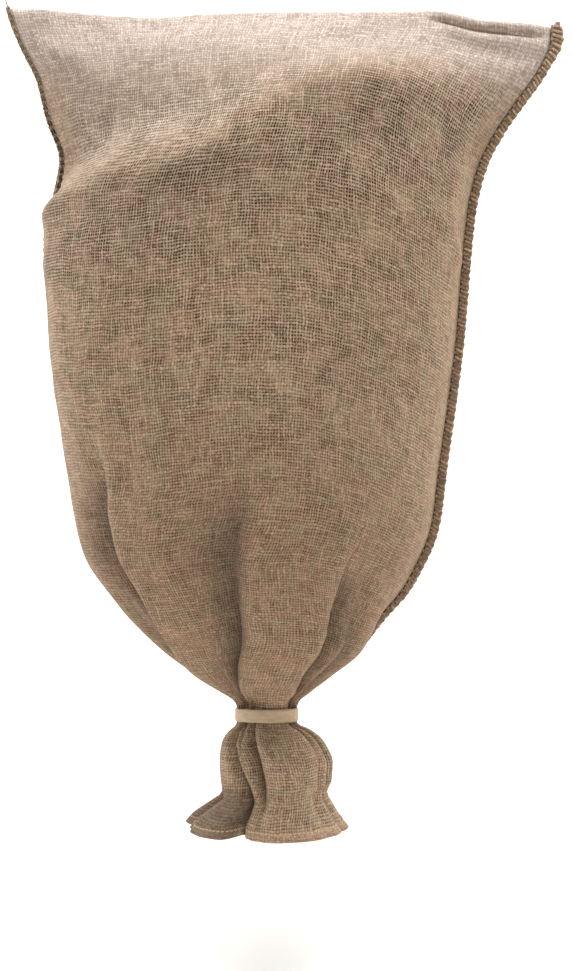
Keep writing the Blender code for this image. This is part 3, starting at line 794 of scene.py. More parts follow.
def make_sack_cloth():
    """The folded and gathered cloth, with a UV map in metres of flat cloth."""
    drops = row_drops()
    across = column_places(drops)
    grid, _ = sack_surface(across, drops[:, None])
    threads, weft_places = draw_weave(thread_places(grid, across, drops), across, drops)
    on_line = COLUMNS // 2 + 1

    def on_points(values):
        """Values of the grid as a list of points, whose top row is one shared line."""
        return np.concatenate([values[0, :on_line], values[1:].reshape(-1, *values.shape[2:])])

    outer = on_points(grid)
    faces, places = [], []
    for row in range(ROWS):
        for column in range(COLUMNS):
            ring = [(row, column), (row, column + 1), (row + 1, column + 1), (row + 1, column)]
            faces.append([grid_index(*corner) for corner in ring])
            back = column >= COLUMNS // 2
            for r, c in ring:
                place = threads[r, c] if c < COLUMNS else GIRTH
                place = GIRTH - place if back else place
                weft_place = weft_places[r, c % COLUMNS]
                places.append((place * MM, (-weft_place if back else weft_place) * MM))
    faces = np.array(faces)
    normals = vertex_normals(outer, faces)

    row_of = np.concatenate([np.zeros(on_line), np.repeat(np.arange(1, ROWS + 1), COLUMNS)])
    down = drops[row_of.astype(int)]
    in_hem = 1 - smooth((MOUTH_DROP - down - HEM_WIDTH) / HEM_STEP)
    thick = mix(CLOTH_THICKNESS, GATHERED_THICKNESS, ramp(down, GATHER_STARTS, GATHER_FULL))
    thick = thick + HEM_EXTRA * in_hem
    inner = outer - normals * thick[:, None]
    # The hem's fold stands a little proud of the cloth above it.
    outer = outer + normals * (HEM_PROUD * in_hem)[:, None]

    count = len(outer)
    hem = []
    for column in range(COLUMNS):
        a, b = grid_index(ROWS, column), grid_index(ROWS, column + 1)
        hem.append([a, b, count + b, count + a])
    shell = np.concatenate([faces, faces[:, ::-1] + count, np.array(hem)])
    outer_uv = np.array(places).reshape(-1, 4, 2)
    hem_uv = np.zeros((COLUMNS, 4, 2))
    hem_uv[:, :, 0] = (threads[ROWS] * MM)[:, None]
    hem_uv[:, :, 1] = MOUTH_DROP * MM
    uv = np.concatenate([outer_uv, outer_uv[:, ::-1], hem_uv])

    mesh = bpy.data.meshes.new("sack_cloth_draped")
    points = np.concatenate([outer, inner]) * MM
    mesh.from_pydata(points.tolist(), [], shell.tolist())
    layer = mesh.uv_layers.new(name="flat_cloth")
    layer.data.foreach_set("uv", uv.reshape(-1).astype(np.float32))
    for name, values in mark_places(across, drops[:, None]).items():
        mark = mesh.attributes.new(name, "FLOAT", "POINT")
        mark.data.foreach_set("value", np.tile(on_points(values), 2).astype(np.float32))
    mesh.shade_smooth()
    print("cloth faces:", len(mesh.polygons))
    return add_object("sack_cloth_draped", mesh)


sack_cloth = make_sack_cloth()

# %% [markdown]
# ## Burlap
#
# Burlap is a plain weave of thick jute yarn, here eight or nine threads to the inch. Its gaps show
# the shaded inside of the sack, painted as brown specks. The yarn is uneven: some threads are pale,
# some thick, and the weave opens and closes in patches. Real threads as meshes would be a million
# faces, and a picture of cloth would repeat itself. So a material counts the threads from the
# flat cloth's own measure, decides which one lies on top at each point, and paints that thread
# or the gap. First come small helpers for its sums.

# %% Sums and mixes in a material
def maths(tree, operation, *inputs, clamp=False):
    return add_node(tree, "Math", *inputs, operation=operation, use_clamp=clamp)


def mix_colour(tree, share, a, b, blend="MIX"):
    """A mix of two colours; each input is a value, a node or a socket."""
    made = tree.nodes.new("ShaderNodeMix")
    made.data_type, made.blend_type = "RGBA", blend
    # The node has sockets for numbers and vectors too, and these are the ones for colours.
    for socket, value in zip((made.inputs[0], made.inputs[6], made.inputs[7]), (share, a, b)):
        plug(tree, value, socket)
    return made.outputs[2]


def multiply(tree, a, b):
    return mix_colour(tree, 1.0, a, b, "MULTIPLY")


def tint(tree, tone, where, colour, elsewhere=(1, 1, 1)):
    """The tone times one colour where a mark is 1, and times another where it is 0."""
    return multiply(tree, tone, mix_colour(tree, where, (*elsewhere, 1), (*colour, 1)))


def rescale(tree, value, low, high, new_low, new_high, kind="SMOOTHSTEP"):
    return add_node(
        tree, "MapRange", value, low, high, new_low, new_high, clamp=True, interpolation_type=kind
    )


def noise_on(tree, place, size_mm, detail=2.0):
    """Soft noise between 0 and 1 whose patches are about size_mm wide."""
    return add_node(tree, "TexNoise", place, 1.0 / (size_mm * MM), detail, 0.5)


def two_noises(tree, place, size_mm):
    """Two noises at once, one for the warp and one for the weft, spread over all of 0 to 1."""
    both = add_node(tree, "SeparateColor", noise_on(tree, place, size_mm, 2).outputs[1])
    return [rescale(tree, both.outputs[k], 0.32, 0.68, 0.0, 1.0, "LINEAR") for k in (0, 1)]


def waver_by(tree, own, size, value):
    """The value, more or less by up to half the size."""
    return maths(tree, "MULTIPLY_ADD", maths(tree, "SUBTRACT", own, 0.5), size, value)


def add_relief(tree, shader, height, strength, deep_mm):
    """Threads that stand out, as bump: they are far too many for a mesh."""
    bump = tree.nodes.new("ShaderNodeBump")
    bump.inputs["Strength"].default_value = strength
    bump.inputs["Distance"].default_value = deep_mm * MM
    plug(tree, height, bump.inputs["Height"])
    plug(tree, bump, shader.inputs["Normal"])


# %% Counting threads
WARP_PITCH = 2.9  # mm from one thread to the next, across the cloth
WEFT_PITCH = 3.2  # and down the cloth
YARN_DRIFT = 24.0  # along a thread, its own tone and thickness change over this many mm
WARP_WANDER, WEFT_WANDER = 0.66, 0.60  # how far a thread strays, in pitches
WARP_THINNEST, WEFT_THINNEST = 0.192, 0.208  # half a thread's width where loose, in pitches
CLOSED_HALF = 0.44  # and where the weave is closed


def count_threads(tree, run, along, pitch, wander):
    """The number of the thread at a place, the way from its middle, and a value of its own.

    The value drifts along the thread, because no yarn keeps its tone or thickness for long.
    """
    count = maths(tree, "ADD", maths(tree, "DIVIDE", run, pitch * MM), wander)
    number = maths(tree, "FLOOR", count)
    off = maths(tree, "SUBTRACT", maths(tree, "SUBTRACT", count, number), 0.5)
    drift = maths(tree, "DIVIDE", along, YARN_DRIFT * MM)
    spot = add_node(tree, "CombineXYZ", maths(tree, "MULTIPLY", number, 3.71), drift, 0.0)
    own = add_node(tree, "TexNoise", spot, 1.0, 1.0, 0.5)
    return number, off, rescale(tree, own, 0.32, 0.68, 0.0, 1.0, "LINEAR")


def yarn_round(tree, off, half):
    """The round top of a thread: 1 along its middle and 0 at its edge."""
    out = maths(tree, "DIVIDE", off, half)
    square = maths(tree, "MULTIPLY", out, out)
    return maths(tree, "SQRT", maths(tree, "SUBTRACT", 1.0, square, clamp=True))


def weave_threads(tree, flat, across, down, loose):
    """Over one, under one: how high the yarn is, where a gap is, where the weft shows, and
    the own values of the warp and the weft."""
    # No thread of hand-fed jute runs straight: each wanders by a third of its pitch.
    wander = two_noises(tree, flat, 23)
    warp_wander = waver_by(tree, wander[0], WARP_WANDER, 0.0)
    weft_wander = waver_by(tree, wander[1], WEFT_WANDER, 0.0)
    warp, beside_warp, warp_own = count_threads(tree, across, down, WARP_PITCH, warp_wander)
    weft, beside_weft, weft_own = count_threads(tree, down, across, WEFT_PITCH, weft_wander)

    # Slubs: each thread swells and thins along its length.
    slubs = two_noises(tree, flat, 3.6)
    halves = []
    yarns = ((warp_own, slubs[0], WARP_THINNEST), (weft_own, slubs[1], WEFT_THINNEST))
    for own, slub, thinnest in yarns:
        half = rescale(tree, loose, 0.0, 1.15, CLOSED_HALF, thinnest, "LINEAR")
        halves.append(waver_by(tree, slub, 0.20, waver_by(tree, own, 0.12, half)))
    warp_round = yarn_round(tree, beside_warp, halves[0])
    weft_round = yarn_round(tree, beside_weft, halves[1])

    # The sign changes from each crossing to the next.
    odd = maths(tree, "FLOORED_MODULO", maths(tree, "ADD", warp, weft), 2.0)
    sign = maths(tree, "MULTIPLY_ADD", odd, -2.0, 1.0)
    tops = []
    for beside, yarn, way in ((beside_weft, warp_round, 0.5), (beside_warp, weft_round, -0.5)):
        rise = maths(tree, "COSINE", maths(tree, "MULTIPLY", beside, math.pi))
        rise = maths(tree, "MULTIPLY", maths(tree, "MULTIPLY", rise, sign), way)
        height = maths(tree, "ADD", rise, maths(tree, "MULTIPLY_ADD", yarn, 0.6, 0.9))
        tops.append(maths(tree, "MULTIPLY", height, maths(tree, "GREATER_THAN", yarn, 0.02)))
    top = maths(tree, "MAXIMUM", *tops)
    gap = maths(tree, "LESS_THAN", top, 0.1)
    return top, gap, maths(tree, "GREATER_THAN", tops[1], tops[0]), warp_own, weft_own


# %% The burlap material
HEM_LINE = MOUTH_DROP - 9.0  # where the stitches hold the turned hem
HEM_STITCH, HEM_THREAD = 5.0, 0.6
# Painted light on the slope under the top fold, and painted shade on the body below it.
BODY_SHADE_TINT, SLOPE_LIGHT_TINT = (0.95, 0.915, 0.87), (1.12, 1.225, 1.44)


def paint_burlap():
    """Loose plain weave of thick jute yarn, dry and matt, full of gaps and short hairs."""
    paint, tree, shader = new_paint("jute_burlap")
    flat = add_node(tree, "UVMap", uv_map="flat_cloth")
    place = add_node(tree, "SeparateXYZ", flat)
    across, down = place.outputs[0], place.outputs[1]
    drop = maths(tree, "ABSOLUTE", down)
    marks = ("on_slope", "tucked", "stretched")
    marks = [add_node(tree, "Attribute", attribute_name=name).outputs["Fac"] for name in marks]
    on_slope, tucked, stretched = marks

    # The weave opens and closes in patches, and is pulled open below the shoulder. It is closed
    # beside a seam, at the top fold and in the hem, where two or three layers lie on each other.
    patches = rescale(tree, noise_on(tree, flat, 38, 4), 0.32, 0.62, 0.40, 0.92)
    patches = maths(tree, "MULTIPLY_ADD", stretched, 0.22, patches)
    from_seam = maths(tree, "SUBTRACT", SHEET_WIDTH * MM, across)
    from_seam = maths(tree, "MINIMUM", across, from_seam)
    beside_seam = rescale(tree, from_seam, 0.010, 0.055, 0.1, 1.0)
    below_fold = rescale(tree, drop, 0.020, 0.110, 0.20, 1.0)
    above_hem = rescale(tree, drop, HEM_LINE * MM, (HEM_LINE - 3) * MM, 0.0, 1.0, "LINEAR")
    loose = maths(tree, "MULTIPLY", patches, maths(tree, "MINIMUM", beside_seam, below_fold))
    lower_down = rescale(tree, drop, 0.300, 0.560, 1.0, 0.68)
    loose = maths(tree, "MULTIPLY", loose, maths(tree, "MULTIPLY", above_hem, lower_down))
    woven = weave_threads(tree, flat, across, down, loose)
    top, gap, weft_shows, warp_own, weft_own = woven

    # Natural jute is tan, some yarn pale and some darker, with a cast of pink or olive.
    warp_tone = mix_colour(tree, warp_own, linear("#9A846E"), linear("#C1AC96"))
    weft_tone = mix_colour(tree, weft_own, linear("#9D8771"), linear("#C1AC96"))
    tone = mix_colour(tree, weft_shows, warp_tone, weft_tone)
    cast = rescale(tree, noise_on(tree, flat, 26, 2), 0.40, 0.60, 0.0, 1.0)
    cast = mix_colour(tree, cast, linear("#F7EBE5"), linear("#F0EFE5"))
    tone = multiply(tree, tone, mix_colour(tree, on_slope, cast, linear("#F3EBE0")))
    flecks = rescale(tree, noise_on(tree, flat, 2.2, 2), 0.32, 0.70, 0.76, 1.22, "LINEAR")
    tone = multiply(tree, tone, flecks)
    # The round threads are painted darker at their edges and where they dip under, and paler on their
    # crests, for their light and shade.
    tone = multiply(tree, tone, rescale(tree, top, 0.9, 2.0, 0.61, 1.14, "LINEAR"))

    # Through a gap shows the inside of the sack, painted dark for its shade, or a thread of the back
    # layer. High on the slope under the top fold daylight comes through both layers, so the gaps are
    # painted pale there.
    light_through = rescale(tree, drop, 0.075, 0.150, 1.0, 0.0, "LINEAR")
    light_through = maths(tree, "MINIMUM", on_slope, light_through)
    behind = rescale(tree, noise_on(tree, flat, 4.2, 1), 0.42, 0.62, 0.0, 1.0, "LINEAR")
    gap_tone = mix_colour(tree, behind, linear("#150B04"), linear("#4A3824"))
    gap_tone = mix_colour(tree, light_through, gap_tone, linear("#8A7563"))
    tone = mix_colour(tree, gap, tone, gap_tone)

    # The light from above is painted in: the slope and the top fold are painted paler and cooler, and
    # the body a little darker and redder, for its shade. Beside the seams below the top fold, where
    # the cloth is closed and lets no light through, the slope gets less of the painted light. Just
    # below the shoulder line, where the weave is pulled open, the tone is a little paler and cooler.
    # Above the band the bunched cloth lets no light through from behind, so its shade is painted
    # darker and redder there.
    tone = tint(tree, tone, on_slope, SLOPE_LIGHT_TINT, BODY_SHADE_TINT)
    by_seam = maths(tree, "MULTIPLY", maths(tree, "SUBTRACT", 1.0, beside_seam), on_slope)
    below_top = rescale(tree, drop, 0.045, 0.110, 0.0, 1.0, "LINEAR")
    tone = tint(tree, tone, maths(tree, "MULTIPLY", by_seam, below_top), (0.93, 0.87, 0.79))
    near_top = rescale(tree, drop, 0.015, 0.120, 1.0, 0.0)
    tone = tint(tree, tone, near_top, (1.26, 1.35, 1.53))
    tone = tint(tree, tone, stretched, (1.03, 1.05, 1.10))
    to_band = rescale(tree, drop, 0.400, 0.620, 0.0, 1.0)
    past_band = rescale(tree, drop, 0.830, 0.880, 1.0, 0.0)
    tone = tint(tree, tone, maths(tree, "MULTIPLY", to_band, past_band), (0.83, 0.775, 0.74))
    # A gather packs more cloth into its valleys than the mesh has, and they lie in its shade, so that
    # shade is painted darker there, as in deep grooves and on the skirt's left wing under the puff.
    tone = multiply(tree, tone, rescale(tree, tucked, 0.12, 0.95, 1.0, 0.55))

    # A row of pale dashes holds the hem.
    to_line = maths(tree, "ABSOLUTE", maths(tree, "SUBTRACT", drop, HEM_LINE * MM))
    on_line = maths(tree, "LESS_THAN", to_line, HEM_THREAD * MM)
    dash = maths(tree, "FRACT", maths(tree, "DIVIDE", across, HEM_STITCH * MM))
    stitch = maths(tree, "MULTIPLY", on_line, maths(tree, "LESS_THAN", dash, 0.7))
    tone = mix_colour(tree, stitch, tone, linear("#C4AA8B"))

    plug(tree, tone, shader.inputs["Base Color"])
    shader.inputs["Roughness"].default_value = 0.95
    # Short hairs stand off the yarn and catch the light at a low angle.
    shader.inputs["Sheen Weight"].default_value = 0.12
    shader.inputs["Sheen Roughness"].default_value = 0.5
    shader.inputs["Sheen Tint"].default_value = linear("#E8D5BC")
    add_relief(tree, shader, top, 0.4, 0.5)
    return paint


burlap = paint_burlap()
sack_cloth.data.materials.append(burlap)
print("burlap nodes:", len(burlap.node_tree.nodes))

# %% [markdown]
# ## Overlocked sides
#
# An overlocker wraps thick yarn round the two raw edges, over and under, and locks it with a chain
# on the inner side. From a step away it reads as a bead of slanting stitches, about nine
# millimetres wide, with a dark line of holes where the chain pulls the cloth down. Bump on a plain
# strip would leave its outline smooth, so each stitch is two short tubes bent round a soft strip.
# The left edging is turned to the back in the flat corner.

# %% The path of a seam
SEAM_GAP = 0.5
EDGING_WIDTH, EDGING_WIDTH_AT_NECK = 9.0, 5.5
EDGING_HALF, EDGING_HALF_AT_NECK = 1.7, 0.9
LEFT_LEAN = 88.0  # degrees
LEAN_LOST = 0.55  # the share of it that the round body takes away
STITCH_PITCH = 8.6
EDGING_TAIL = 6.0
# The right corner is thicker, because the thread ends are tucked in there.
RIGHT_BULB, BULB_DROP, BULB_REACH = 0.42, 8.0, 16.0

SeamFrame = namedtuple("SeamFrame", "root along out side width half")


def unit(rows):
    return rows / np.maximum(np.linalg.norm(rows, axis=-1, keepdims=True), 1e-9)


def seam_line(across, lean, bulb):
    """At each drop: where the edging starts, its three directions, its width and half thickness."""
    drops = np.arange(-EDGING_TAIL, MOUTH_DROP + 0.1, 1.5)
    wanted = np.clip(drops, 0.0, MOUTH_DROP)
    step = 9.0

    def edge(at):
        down = np.clip(at, 0.0, MOUTH_DROP)[:, None]
        return sack_surface(np.full_like(down, across), down)

    here, angles = edge(wanted)
    here = here[:, 0]
    along = unit(edge(wanted + step)[0][:, 0] - edge(wanted - step)[0][:, 0])
    rows = read_table(SECTIONS, wanted)
    turn = np.radians(angles[:, 0])
    flat = np.zeros_like(here)
    flat[:, 0] = 1.0 if across == 0 else -1.0
    level = np.stack([np.cos(turn), np.sin(turn), 0 * turn], axis=-1)
    outward = mix(flat, level, rows["full"][:, None])
    outward = unit(outward - along * np.sum(outward * along, axis=1, keepdims=True))
    swollen = 1 + bulb * np.exp(-(((wanted - BULB_DROP) / BULB_REACH) ** 2))
    width = mix(EDGING_WIDTH, EDGING_WIDTH_AT_NECK, rows["gather"]) * swollen
    half = mix(EDGING_HALF, EDGING_HALF_AT_NECK, rows["gather"]) * swollen
    here = here + along * (drops - wanted)[:, None]
    turned = lean * (1 - LEAN_LOST * rows["full"] ** 2) * (1 - rows["gather"])
    turned = np.radians(turned)[:, None]
    root = here + outward * (SEAM_GAP + half[:, None] * np.sin(turned))
    back = np.zeros_like(here)
    back[:, 1] = 1.0
    back = unit(back - along * np.sum(back * along, axis=1, keepdims=True))
    outward = outward * np.cos(turned) + back * np.sin(turned)
    side = unit(np.cross(along, outward))
    return drops, SeamFrame(root, along, outward, side, width, half)


def at_drops(line, drops):
    """The seam's frame between the drops it was measured at."""
    known, frames = line

    def between(values):
        if values.ndim == 1:
            return np.interp(drops, known, values)
        return np.stack([np.interp(drops, known, values[:, k]) for k in range(3)], axis=-1)

    return SeamFrame(*[between(values) for values in frames])


# %% Strips and tubes
def join_rings(rings):
    """Points and faces of a closed skin round a row of rings with as many points each."""
    rings = np.asarray(rings)
    count, sides = rings.shape[:2]
    faces = []
    for ring in range(count - 1):
        for i in range(sides):
            j = (i + 1) % sides
            a, b = ring * sides, (ring + 1) * sides
            faces.append([a + i, b + i, b + j, a + j])
    faces.append(list(range(sides)))
    faces.append([(count - 1) * sides + i for i in reversed(range(sides))])
    return rings.reshape(-1, 3), faces


def tube_rings(path, radius, sides):
    """Rings of a tube along a path; radius is one value or one a point."""
    path = np.asarray(path, float)
    radius = np.broadcast_to(radius, len(path))
    ahead = unit(np.gradient(path, axis=0))
    aside = np.cross(ahead[0], [0.31, 0.57, 0.76])
    rings = []
    for point, direction, size in zip(path, ahead, radius):
        aside = aside - direction * np.dot(aside, direction)
        aside = aside / np.linalg.norm(aside)
        up = np.cross(direction, aside)
        turns = np.arange(sides) / sides * 2 * math.pi
        rings.append(point + size * (np.cos(turns)[:, None] * aside + np.sin(turns)[:, None] * up))
    return rings


class Pieces:
    """Collects small skins into one mesh, each with its own number for the material."""

    def __init__(self):
        self.points, self.faces, self.numbers, self.kinds, self.count = [], [], [], [], 0

    def add(self, points, faces, number, kind=0):
        self.points.append(points)
        self.faces += [[self.count + i for i in face] for face in faces]
        self.numbers += np.broadcast_to(number, len(faces)).tolist()
        self.kinds += [kind] * len(faces)
        self.count += len(points)

    def make(self, name, materials):
        mesh = bpy.data.meshes.new(name)
        mesh.from_pydata((np.concatenate(self.points) * MM).tolist(), [], self.faces)
        tone = mesh.attributes.new("own_number", "FLOAT", "FACE")
        tone.data.foreach_set("value", np.array(self.numbers, np.float32))
        for material in materials:
            mesh.materials.append(material)
        mesh.polygons.foreach_set("material_index", np.array(self.kinds, np.int32))
        mesh.shade_smooth()
        return add_object(name, mesh)


# %% The overlocking
STITCH_POINTS = 11
# Each stitch is two strands side by side, one of them on top and pale, the other in its shade.
# The reach is how far out across the edging a strand goes, as a share of the edging's width.
STRANDS = make_table(
    "offset tone size reach",
    (0.0, 0.60, 1.3, (0.87, 0.93)),
    (4.3, 0.42, 1.1, (0.83, 0.89)),
)
STITCH_STRAY, STITCH_SLANT = (-0.7, 0.7), (6.0, 9.0)  # mm along the seam
SIZE_STRAY, TONE_STRAY = (0.9, 1.1), (-0.25, 0.28)
THINNEST_YARN = 0.65  # at the band, of its full thickness
CHAIN_THICKNESS, CHAIN_KNOT = 0.95, 0.35
TOP_LIGHT_DOWN_TO = 130.0  # mm of drop; above it the yarn is painted paler, for the light from above


def rounded_end(drops):
    """How much of its full size the edging has near its top end, which is round."""
    return np.sqrt(np.clip((drops + EDGING_TAIL + 1.5) / 13.0, 0.04, 1.0))


def thinner_below(f):
    """The yarn is pulled thinner where the edging narrows towards the band."""
    narrowed = (EDGING_WIDTH - f.width) / (EDGING_WIDTH - EDGING_WIDTH_AT_NECK)
    return mix(1.0, THINNEST_YARN, narrowed)


def make_overlock(name, line, loop, painted_top_light, materials):
    """A soft strip over the raw edges, the stitches round it, and the chain at its root."""
    rng = random.Random(name)
    pieces = Pieces()
    drops = np.append(np.arange(-EDGING_TAIL, MOUTH_DROP, 2.0), MOUTH_DROP)
    f = at_drops(line, drops)
    swell = 1 + 0.07 * np.sin(drops / STITCH_PITCH * 2 * math.pi)
    ends = rounded_end(drops)[:, None]
    turns = np.arange(10) / 10 * 2 * math.pi
    wide = (f.width * 0.95 * swell)[:, None] * (0.5 - 0.5 * np.cos(turns) * ends)
    thick = (f.half * 0.85 * swell)[:, None] * np.sin(turns) * ends
    rings = f.root[:, None] + f.out[:, None] * wide[..., None] + f.side[:, None] * thick[..., None]
    pieces.add(*join_rings(rings), 0.42, 0)

    stitches = np.arange(-3.0, MOUTH_DROP - 6.0, STITCH_PITCH)
    turns = np.linspace(0.12, 1.88, STITCH_POINTS) * math.pi
    for start in stitches:
        for strand in STRANDS:
            run = start + strand.offset + rng.uniform(*STITCH_STRAY)
            run = run + rng.uniform(*STITCH_SLANT) * np.linspace(0, 1, STITCH_POINTS)
            f = at_drops(line, run)
            reach = rng.uniform(*strand.reach)
            u = f.width * (0.5 - 0.5 * np.cos(turns) * rounded_end(run)) * reach
            v = f.half * 1.02 * np.sin(turns) * rounded_end(run)
            path = f.root + f.out * u[:, None] + f.side * v[:, None]
            thick = strand.size * rng.uniform(*SIZE_STRAY) * thinner_below(f)
            number = strand.tone + rng.uniform(*TONE_STRAY)
            # Near the top the stitches are painted paler, for the light from above.
            number += painted_top_light * max(0.0, 1 - start / TOP_LIGHT_DOWN_TO)
            pieces.add(*join_rings(tube_rings(path, thick, 5)), number, 0)

    # The chain runs down both faces. Between its knots it is painted near black, for the shade in the
    # needle's holes.
    run = np.arange(-3.0, MOUTH_DROP, 1.0)
    f = at_drops(line, run)
    beat = np.sin((run / STITCH_PITCH + 0.1) * 2 * math.pi)
    thick = (CHAIN_THICKNESS + CHAIN_KNOT * beat) * thinner_below(f)
    number = np.where(beat[:-1] > 0.25, 0.85, 0.06)
    # Near the top the chain is painted paler too, for the light from above.
    number = number + painted_top_light * np.clip(1 - run[:-1] / TOP_LIGHT_DOWN_TO, 0, 1)
    number = np.append(np.repeat(number, 6), [0.1, 0.1])
    for face in (1, -1):
        path = f.root + f.out * 0.1 + f.side * face * (f.half * 0.75)[:, None]
        points, faces = join_rings(tube_rings(path, thick, 6))
        pieces.add(points, faces, number, 1)
    if loop:
        # The end of the thread chain is left as a small loop at the ear's tip.
        f = at_drops(line, np.array([-EDGING_TAIL]))
        turns = np.linspace(-0.5, 1.6, 12) * math.pi
        path = f.root + f.out * (3.0 + 2.4 * np.cos(turns))[:, None]
        path = path - f.along * (1.5 + 2.4 * np.sin(turns))[:, None]
        pieces.add(*join_rings(tube_rings(path, 0.55, 5)), 0.5, 0)
    made = pieces.make(name, materials)
    print(name, "faces:", len(made.data.polygons), "stitches:", len(stitches))
    return made


# %% [markdown]
# The yarn is jute too, twisted from two plies. Where the chain digs into the cloth it lies in
# shadow and dust, so it is painted much darker than the stitches on top. One tone for all would
# look like plastic, so each stitch carries a number that picks its own.

# %% Yarn materials
def paint_yarn(name, dark, pale):
    """Matt two-ply yarn; each stitch has its own tone between two colours."""
    paint, tree, shader = new_paint(name)
    own = add_node(tree, "Attribute", attribute_name="own_number")
    tone = mix_colour(tree, own.outputs["Fac"], linear(dark), linear(pale))
    place = add_node(tree, "TexCoord").outputs["Object"]
    fleck = rescale(tree, noise_on(tree, place, 1.9, 3), 0.32, 0.68, 0.50, 1.40, "LINEAR")
    plug(tree, multiply(tree, tone, fleck), shader.inputs["Base Color"])
    shader.inputs["Roughness"].default_value = 0.95
    shader.inputs["Sheen Weight"].default_value = 0.15
    add_relief(tree, shader, noise_on(tree, place, 1.4, 2), 0.5, 0.3)
    return paint


stitch_yarn = paint_yarn("overlock_yarn", "#583F28", "#BDA082")
chain_yarn = paint_yarn("chain_yarn_in_shadow", "#2E1C0F", "#A0866A")
right_line = seam_line(0.0, 0.0, RIGHT_BULB)
left_line = seam_line(SHEET_WIDTH, LEFT_LEAN, 0.0)
edging_right = make_overlock("overlock_right", right_line, False, 0.5, [stitch_yarn, chain_yarn])
edging_left = make_overlock("overlock_left", left_line, True, 0.45, [stitch_yarn, chain_yarn])

# %% [markdown]
# ## The tie band
#
# A flat woven tape, fifteen millimetres wide, goes once round the neck and laps over itself at
# the right of the front. Pulled tight it lies smooth, bulges a little along its middle and puckers
# here and there. A ring would have no end to see, so the tape is a strip that climbs over its
# own start.

# %% The band
BAND_HEIGHT = 14.8
BAND_THICKNESS = 1.1
BAND_GAP = 0.4
BAND_LAP = 42.0
BAND_END_ANGLE = -28.0
BAND_STEPS = 180
BAND_PROFILE = 9
BAND_WAVE, BAND_CROWN, BAND_PUCKER = 0.22, 0.12, 0.35  # mm that the tape strays from smooth
BAND_CLEAR = 0.2  # mm left free at either edge for the pucker


def make_band(material):
    """A strip of tape once round the neck, its end lapped over its start."""
    neck = read_table(SECTIONS, np.array([FOLD_STATIONS["neck"]]))
    neck = {name: float(value[0]) for name, value in neck.items()}
    middle_x = (neck["left"] + neck["right"]) / 2
    inner = (neck["right"] - neck["left"]) / 2 + BAND_GAP
    layer = BAND_THICKNESS + BAND_GAP
    lap = math.degrees(BAND_LAP / (inner + layer))
    middle_z = (neck["z_left"] + neck["z_right"]) / 2
    tilt = (neck["z_front"] - neck["z_back"]) / (neck["front"] + neck["back"])
    rings = []
    levels = np.linspace(-0.5, 0.5, BAND_PROFILE)
    for step in range(BAND_STEPS + 1):
        turned = step / BAND_STEPS * (360 + lap)
        angle = math.radians(BAND_END_ANGLE - lap + turned)
        raised = layer * float(smooth((turned - (360 - lap)) / lap))
        ring = []
        for face in (0, 1):
            for level in levels if face == 0 else levels[::-1]:
                edge = 1 - abs(level * 2) ** 6
                wave = BAND_WAVE * noise.noise((turned * 0.09, level * 2.5, 3.0))
                thick = BAND_THICKNESS * (0.55 + 0.45 * edge) if face else 0.0
                radius = inner + raised + thick + wave + BAND_CROWN * edge * face
                x = middle_x + radius * math.cos(angle)
                y = radius * math.sin(angle)
                pucker = BAND_PUCKER * noise.noise((turned * 0.05, 7.0, 0.0))
                up = level * (BAND_HEIGHT - 2 * BAND_CLEAR)
                ring.append((x, y, middle_z - tilt * y + up + pucker))
        rings.append(ring)
    points, faces = join_rings(rings)
    mesh = bpy.data.meshes.new("tie_band_tape")
    mesh.from_pydata((points * MM).tolist(), [], faces)
    layer_uv = mesh.uv_layers.new(name="tape")
    sides = 2 * BAND_PROFILE
    for polygon in mesh.polygons:
        for loop in polygon.loop_indices:
            vertex = mesh.loops[loop].vertex_index
            ring, i = divmod(vertex, sides)
            level = levels[i] if i < BAND_PROFILE else levels[sides - 1 - i]
            length = ring / BAND_STEPS * math.radians(360 + lap) * inner
            layer_uv.data[loop].uv = (length * MM, level * BAND_HEIGHT * MM)
    mesh.shade_smooth()
    mesh.materials.append(material)
    print("band faces:", len(mesh.polygons), "lap, mm:", BAND_LAP)
    return add_object("tie_band_tape", mesh)


# %% [markdown]
# The tape is woven of fine warp ribs, much closer together than the burlap's threads, so from a
# step away it looks smooth. Two waves make the ribs, one across and one along, which is all that
# shows. They are drawn a little coarser than real so that they can be seen at all.

# %% Tape material
RIB_PITCH, PICK_PITCH = 1.3, 0.9


def paint_tape():
    """Beige woven tape, tight and smooth, with a faint gleam where it is pulled flat."""
    paint, tree, shader = new_paint("beige_woven_tape")
    flat = add_node(tree, "UVMap", uv_map="tape")
    place = add_node(tree, "SeparateXYZ", flat)
    waves = []
    for socket, pitch in ((place.outputs[1], RIB_PITCH), (place.outputs[0], PICK_PITCH)):
        wave = maths(tree, "MULTIPLY", socket, 2 * math.pi / (pitch * MM))
        waves.append(maths(tree, "SINE", wave))
    weave = maths(tree, "MULTIPLY_ADD", waves[1], 0.3, waves[0])
    stretched = add_node(tree, "VectorMath", flat, (0.25, 1.0, 1.0), operation="MULTIPLY")
    streak = rescale(tree, noise_on(tree, stretched, 2.4, 2), 0.3, 0.7, 0.86, 1.10, "LINEAR")
    # The hollows between the ribs are painted a little darker, for their shade.
    shade = rescale(tree, weave, -1.3, 1.3, 0.92, 1.04, "LINEAR")
    tone = multiply(tree, multiply(tree, linear("#B9A081"), streak), shade)
    plug(tree, tone, shader.inputs["Base Color"])
    shader.inputs["Roughness"].default_value = 0.75
    shader.inputs["Sheen Weight"].default_value = 0.1
    add_relief(tree, shader, weave, 0.4, 0.15)
    return paint


band = make_band(paint_tape())

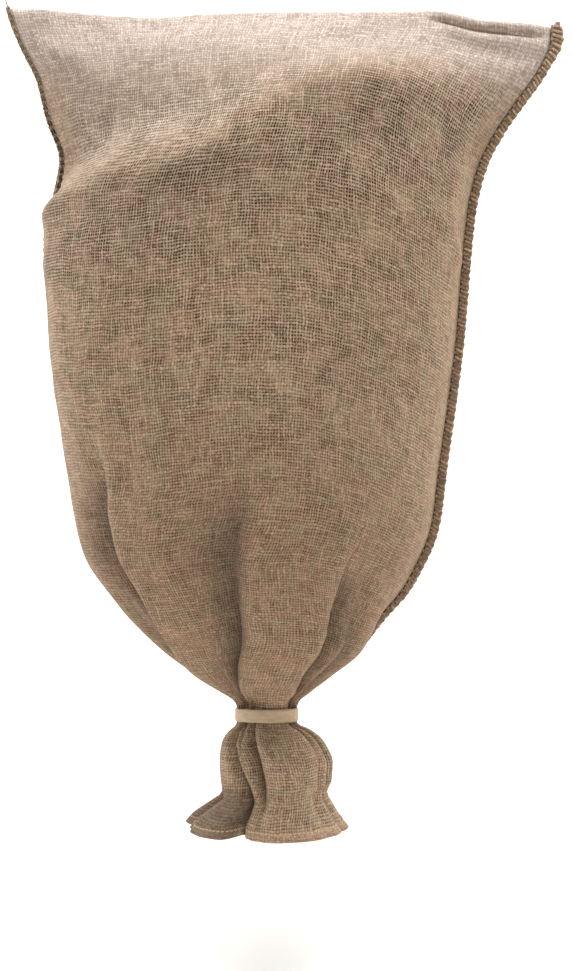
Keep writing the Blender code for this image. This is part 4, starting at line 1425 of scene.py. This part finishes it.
# %% [markdown]
# ## Loose fibres
#
# Jute sheds short stiff hairs. They blur the sack's outline and catch the light along the top
# fold. Blender's hair would do, but it is lost when the model is exported. So each hair is a
# sliver of two faces, thinner than the yarn, that leaves the cloth at a low angle.

# %% Loose fibres
FIBRES = 2600
FIBRE_LENGTH = (3.0, 8.0)
FIBRE_WIDTH = 0.22
FIBRE_LIFT = (0.1, 0.5)  # how steeply a hair leaves the cloth


def make_fibres(cloth, material):
    """Slivers that stand off the outer face of the cloth."""
    rng = random.Random(21)
    outer = [p for p in cloth.data.polygons if p.index < COLUMNS * ROWS]
    pieces = Pieces()
    for number in range(FIBRES):
        polygon = outer[rng.randrange(len(outer))]
        at = np.array(polygon.center) / MM
        normal = np.array(polygon.normal)
        aside = unit(np.cross(normal, [rng.uniform(-1, 1), rng.uniform(-1, 1), rng.uniform(-1, 1)]))
        length = rng.uniform(*FIBRE_LENGTH)
        lift = rng.uniform(*FIBRE_LIFT)
        width = np.cross(aside, normal) * FIBRE_WIDTH / 2
        points = []
        for share, size in ((0.0, 1.0), (0.5, 0.9), (1.0, 0.3)):
            off = 0.15 + length * lift * (share - share**2 * 0.4)
            spot = at + aside * length * share + normal * off
            points += [spot - width * size, spot + width * size]
        pieces.add(np.array(points), [[0, 1, 3, 2], [2, 3, 5, 4]], rng.random(), 0)
    return pieces.make("loose_fibres", [material])


fibre_paint = paint_yarn("jute_fibre", "#A08B70", "#D8C6AA")
fibres = make_fibres(sack_cloth, fibre_paint)
print("fibres:", FIBRES)

# %% [markdown]
# ## Each piece takes the place of its solid
#
# The CAD solids stay in the scene for collision, and each piece stands for one of them. The loose
# fibres stand for none.

# %% Hand the pieces over
PIECES = [
    (sack_cloth, "sack_cloth", "burlap"),
    (edging_right, "seam_edging_right", "seam_yarn"),
    (edging_left, "seam_edging_left", "seam_yarn"),
    (band, "tie_band", "tie_tape"),
]
for piece, node, slot in PIECES:
    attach(piece, "root")
    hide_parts(node)
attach(fibres, "root")
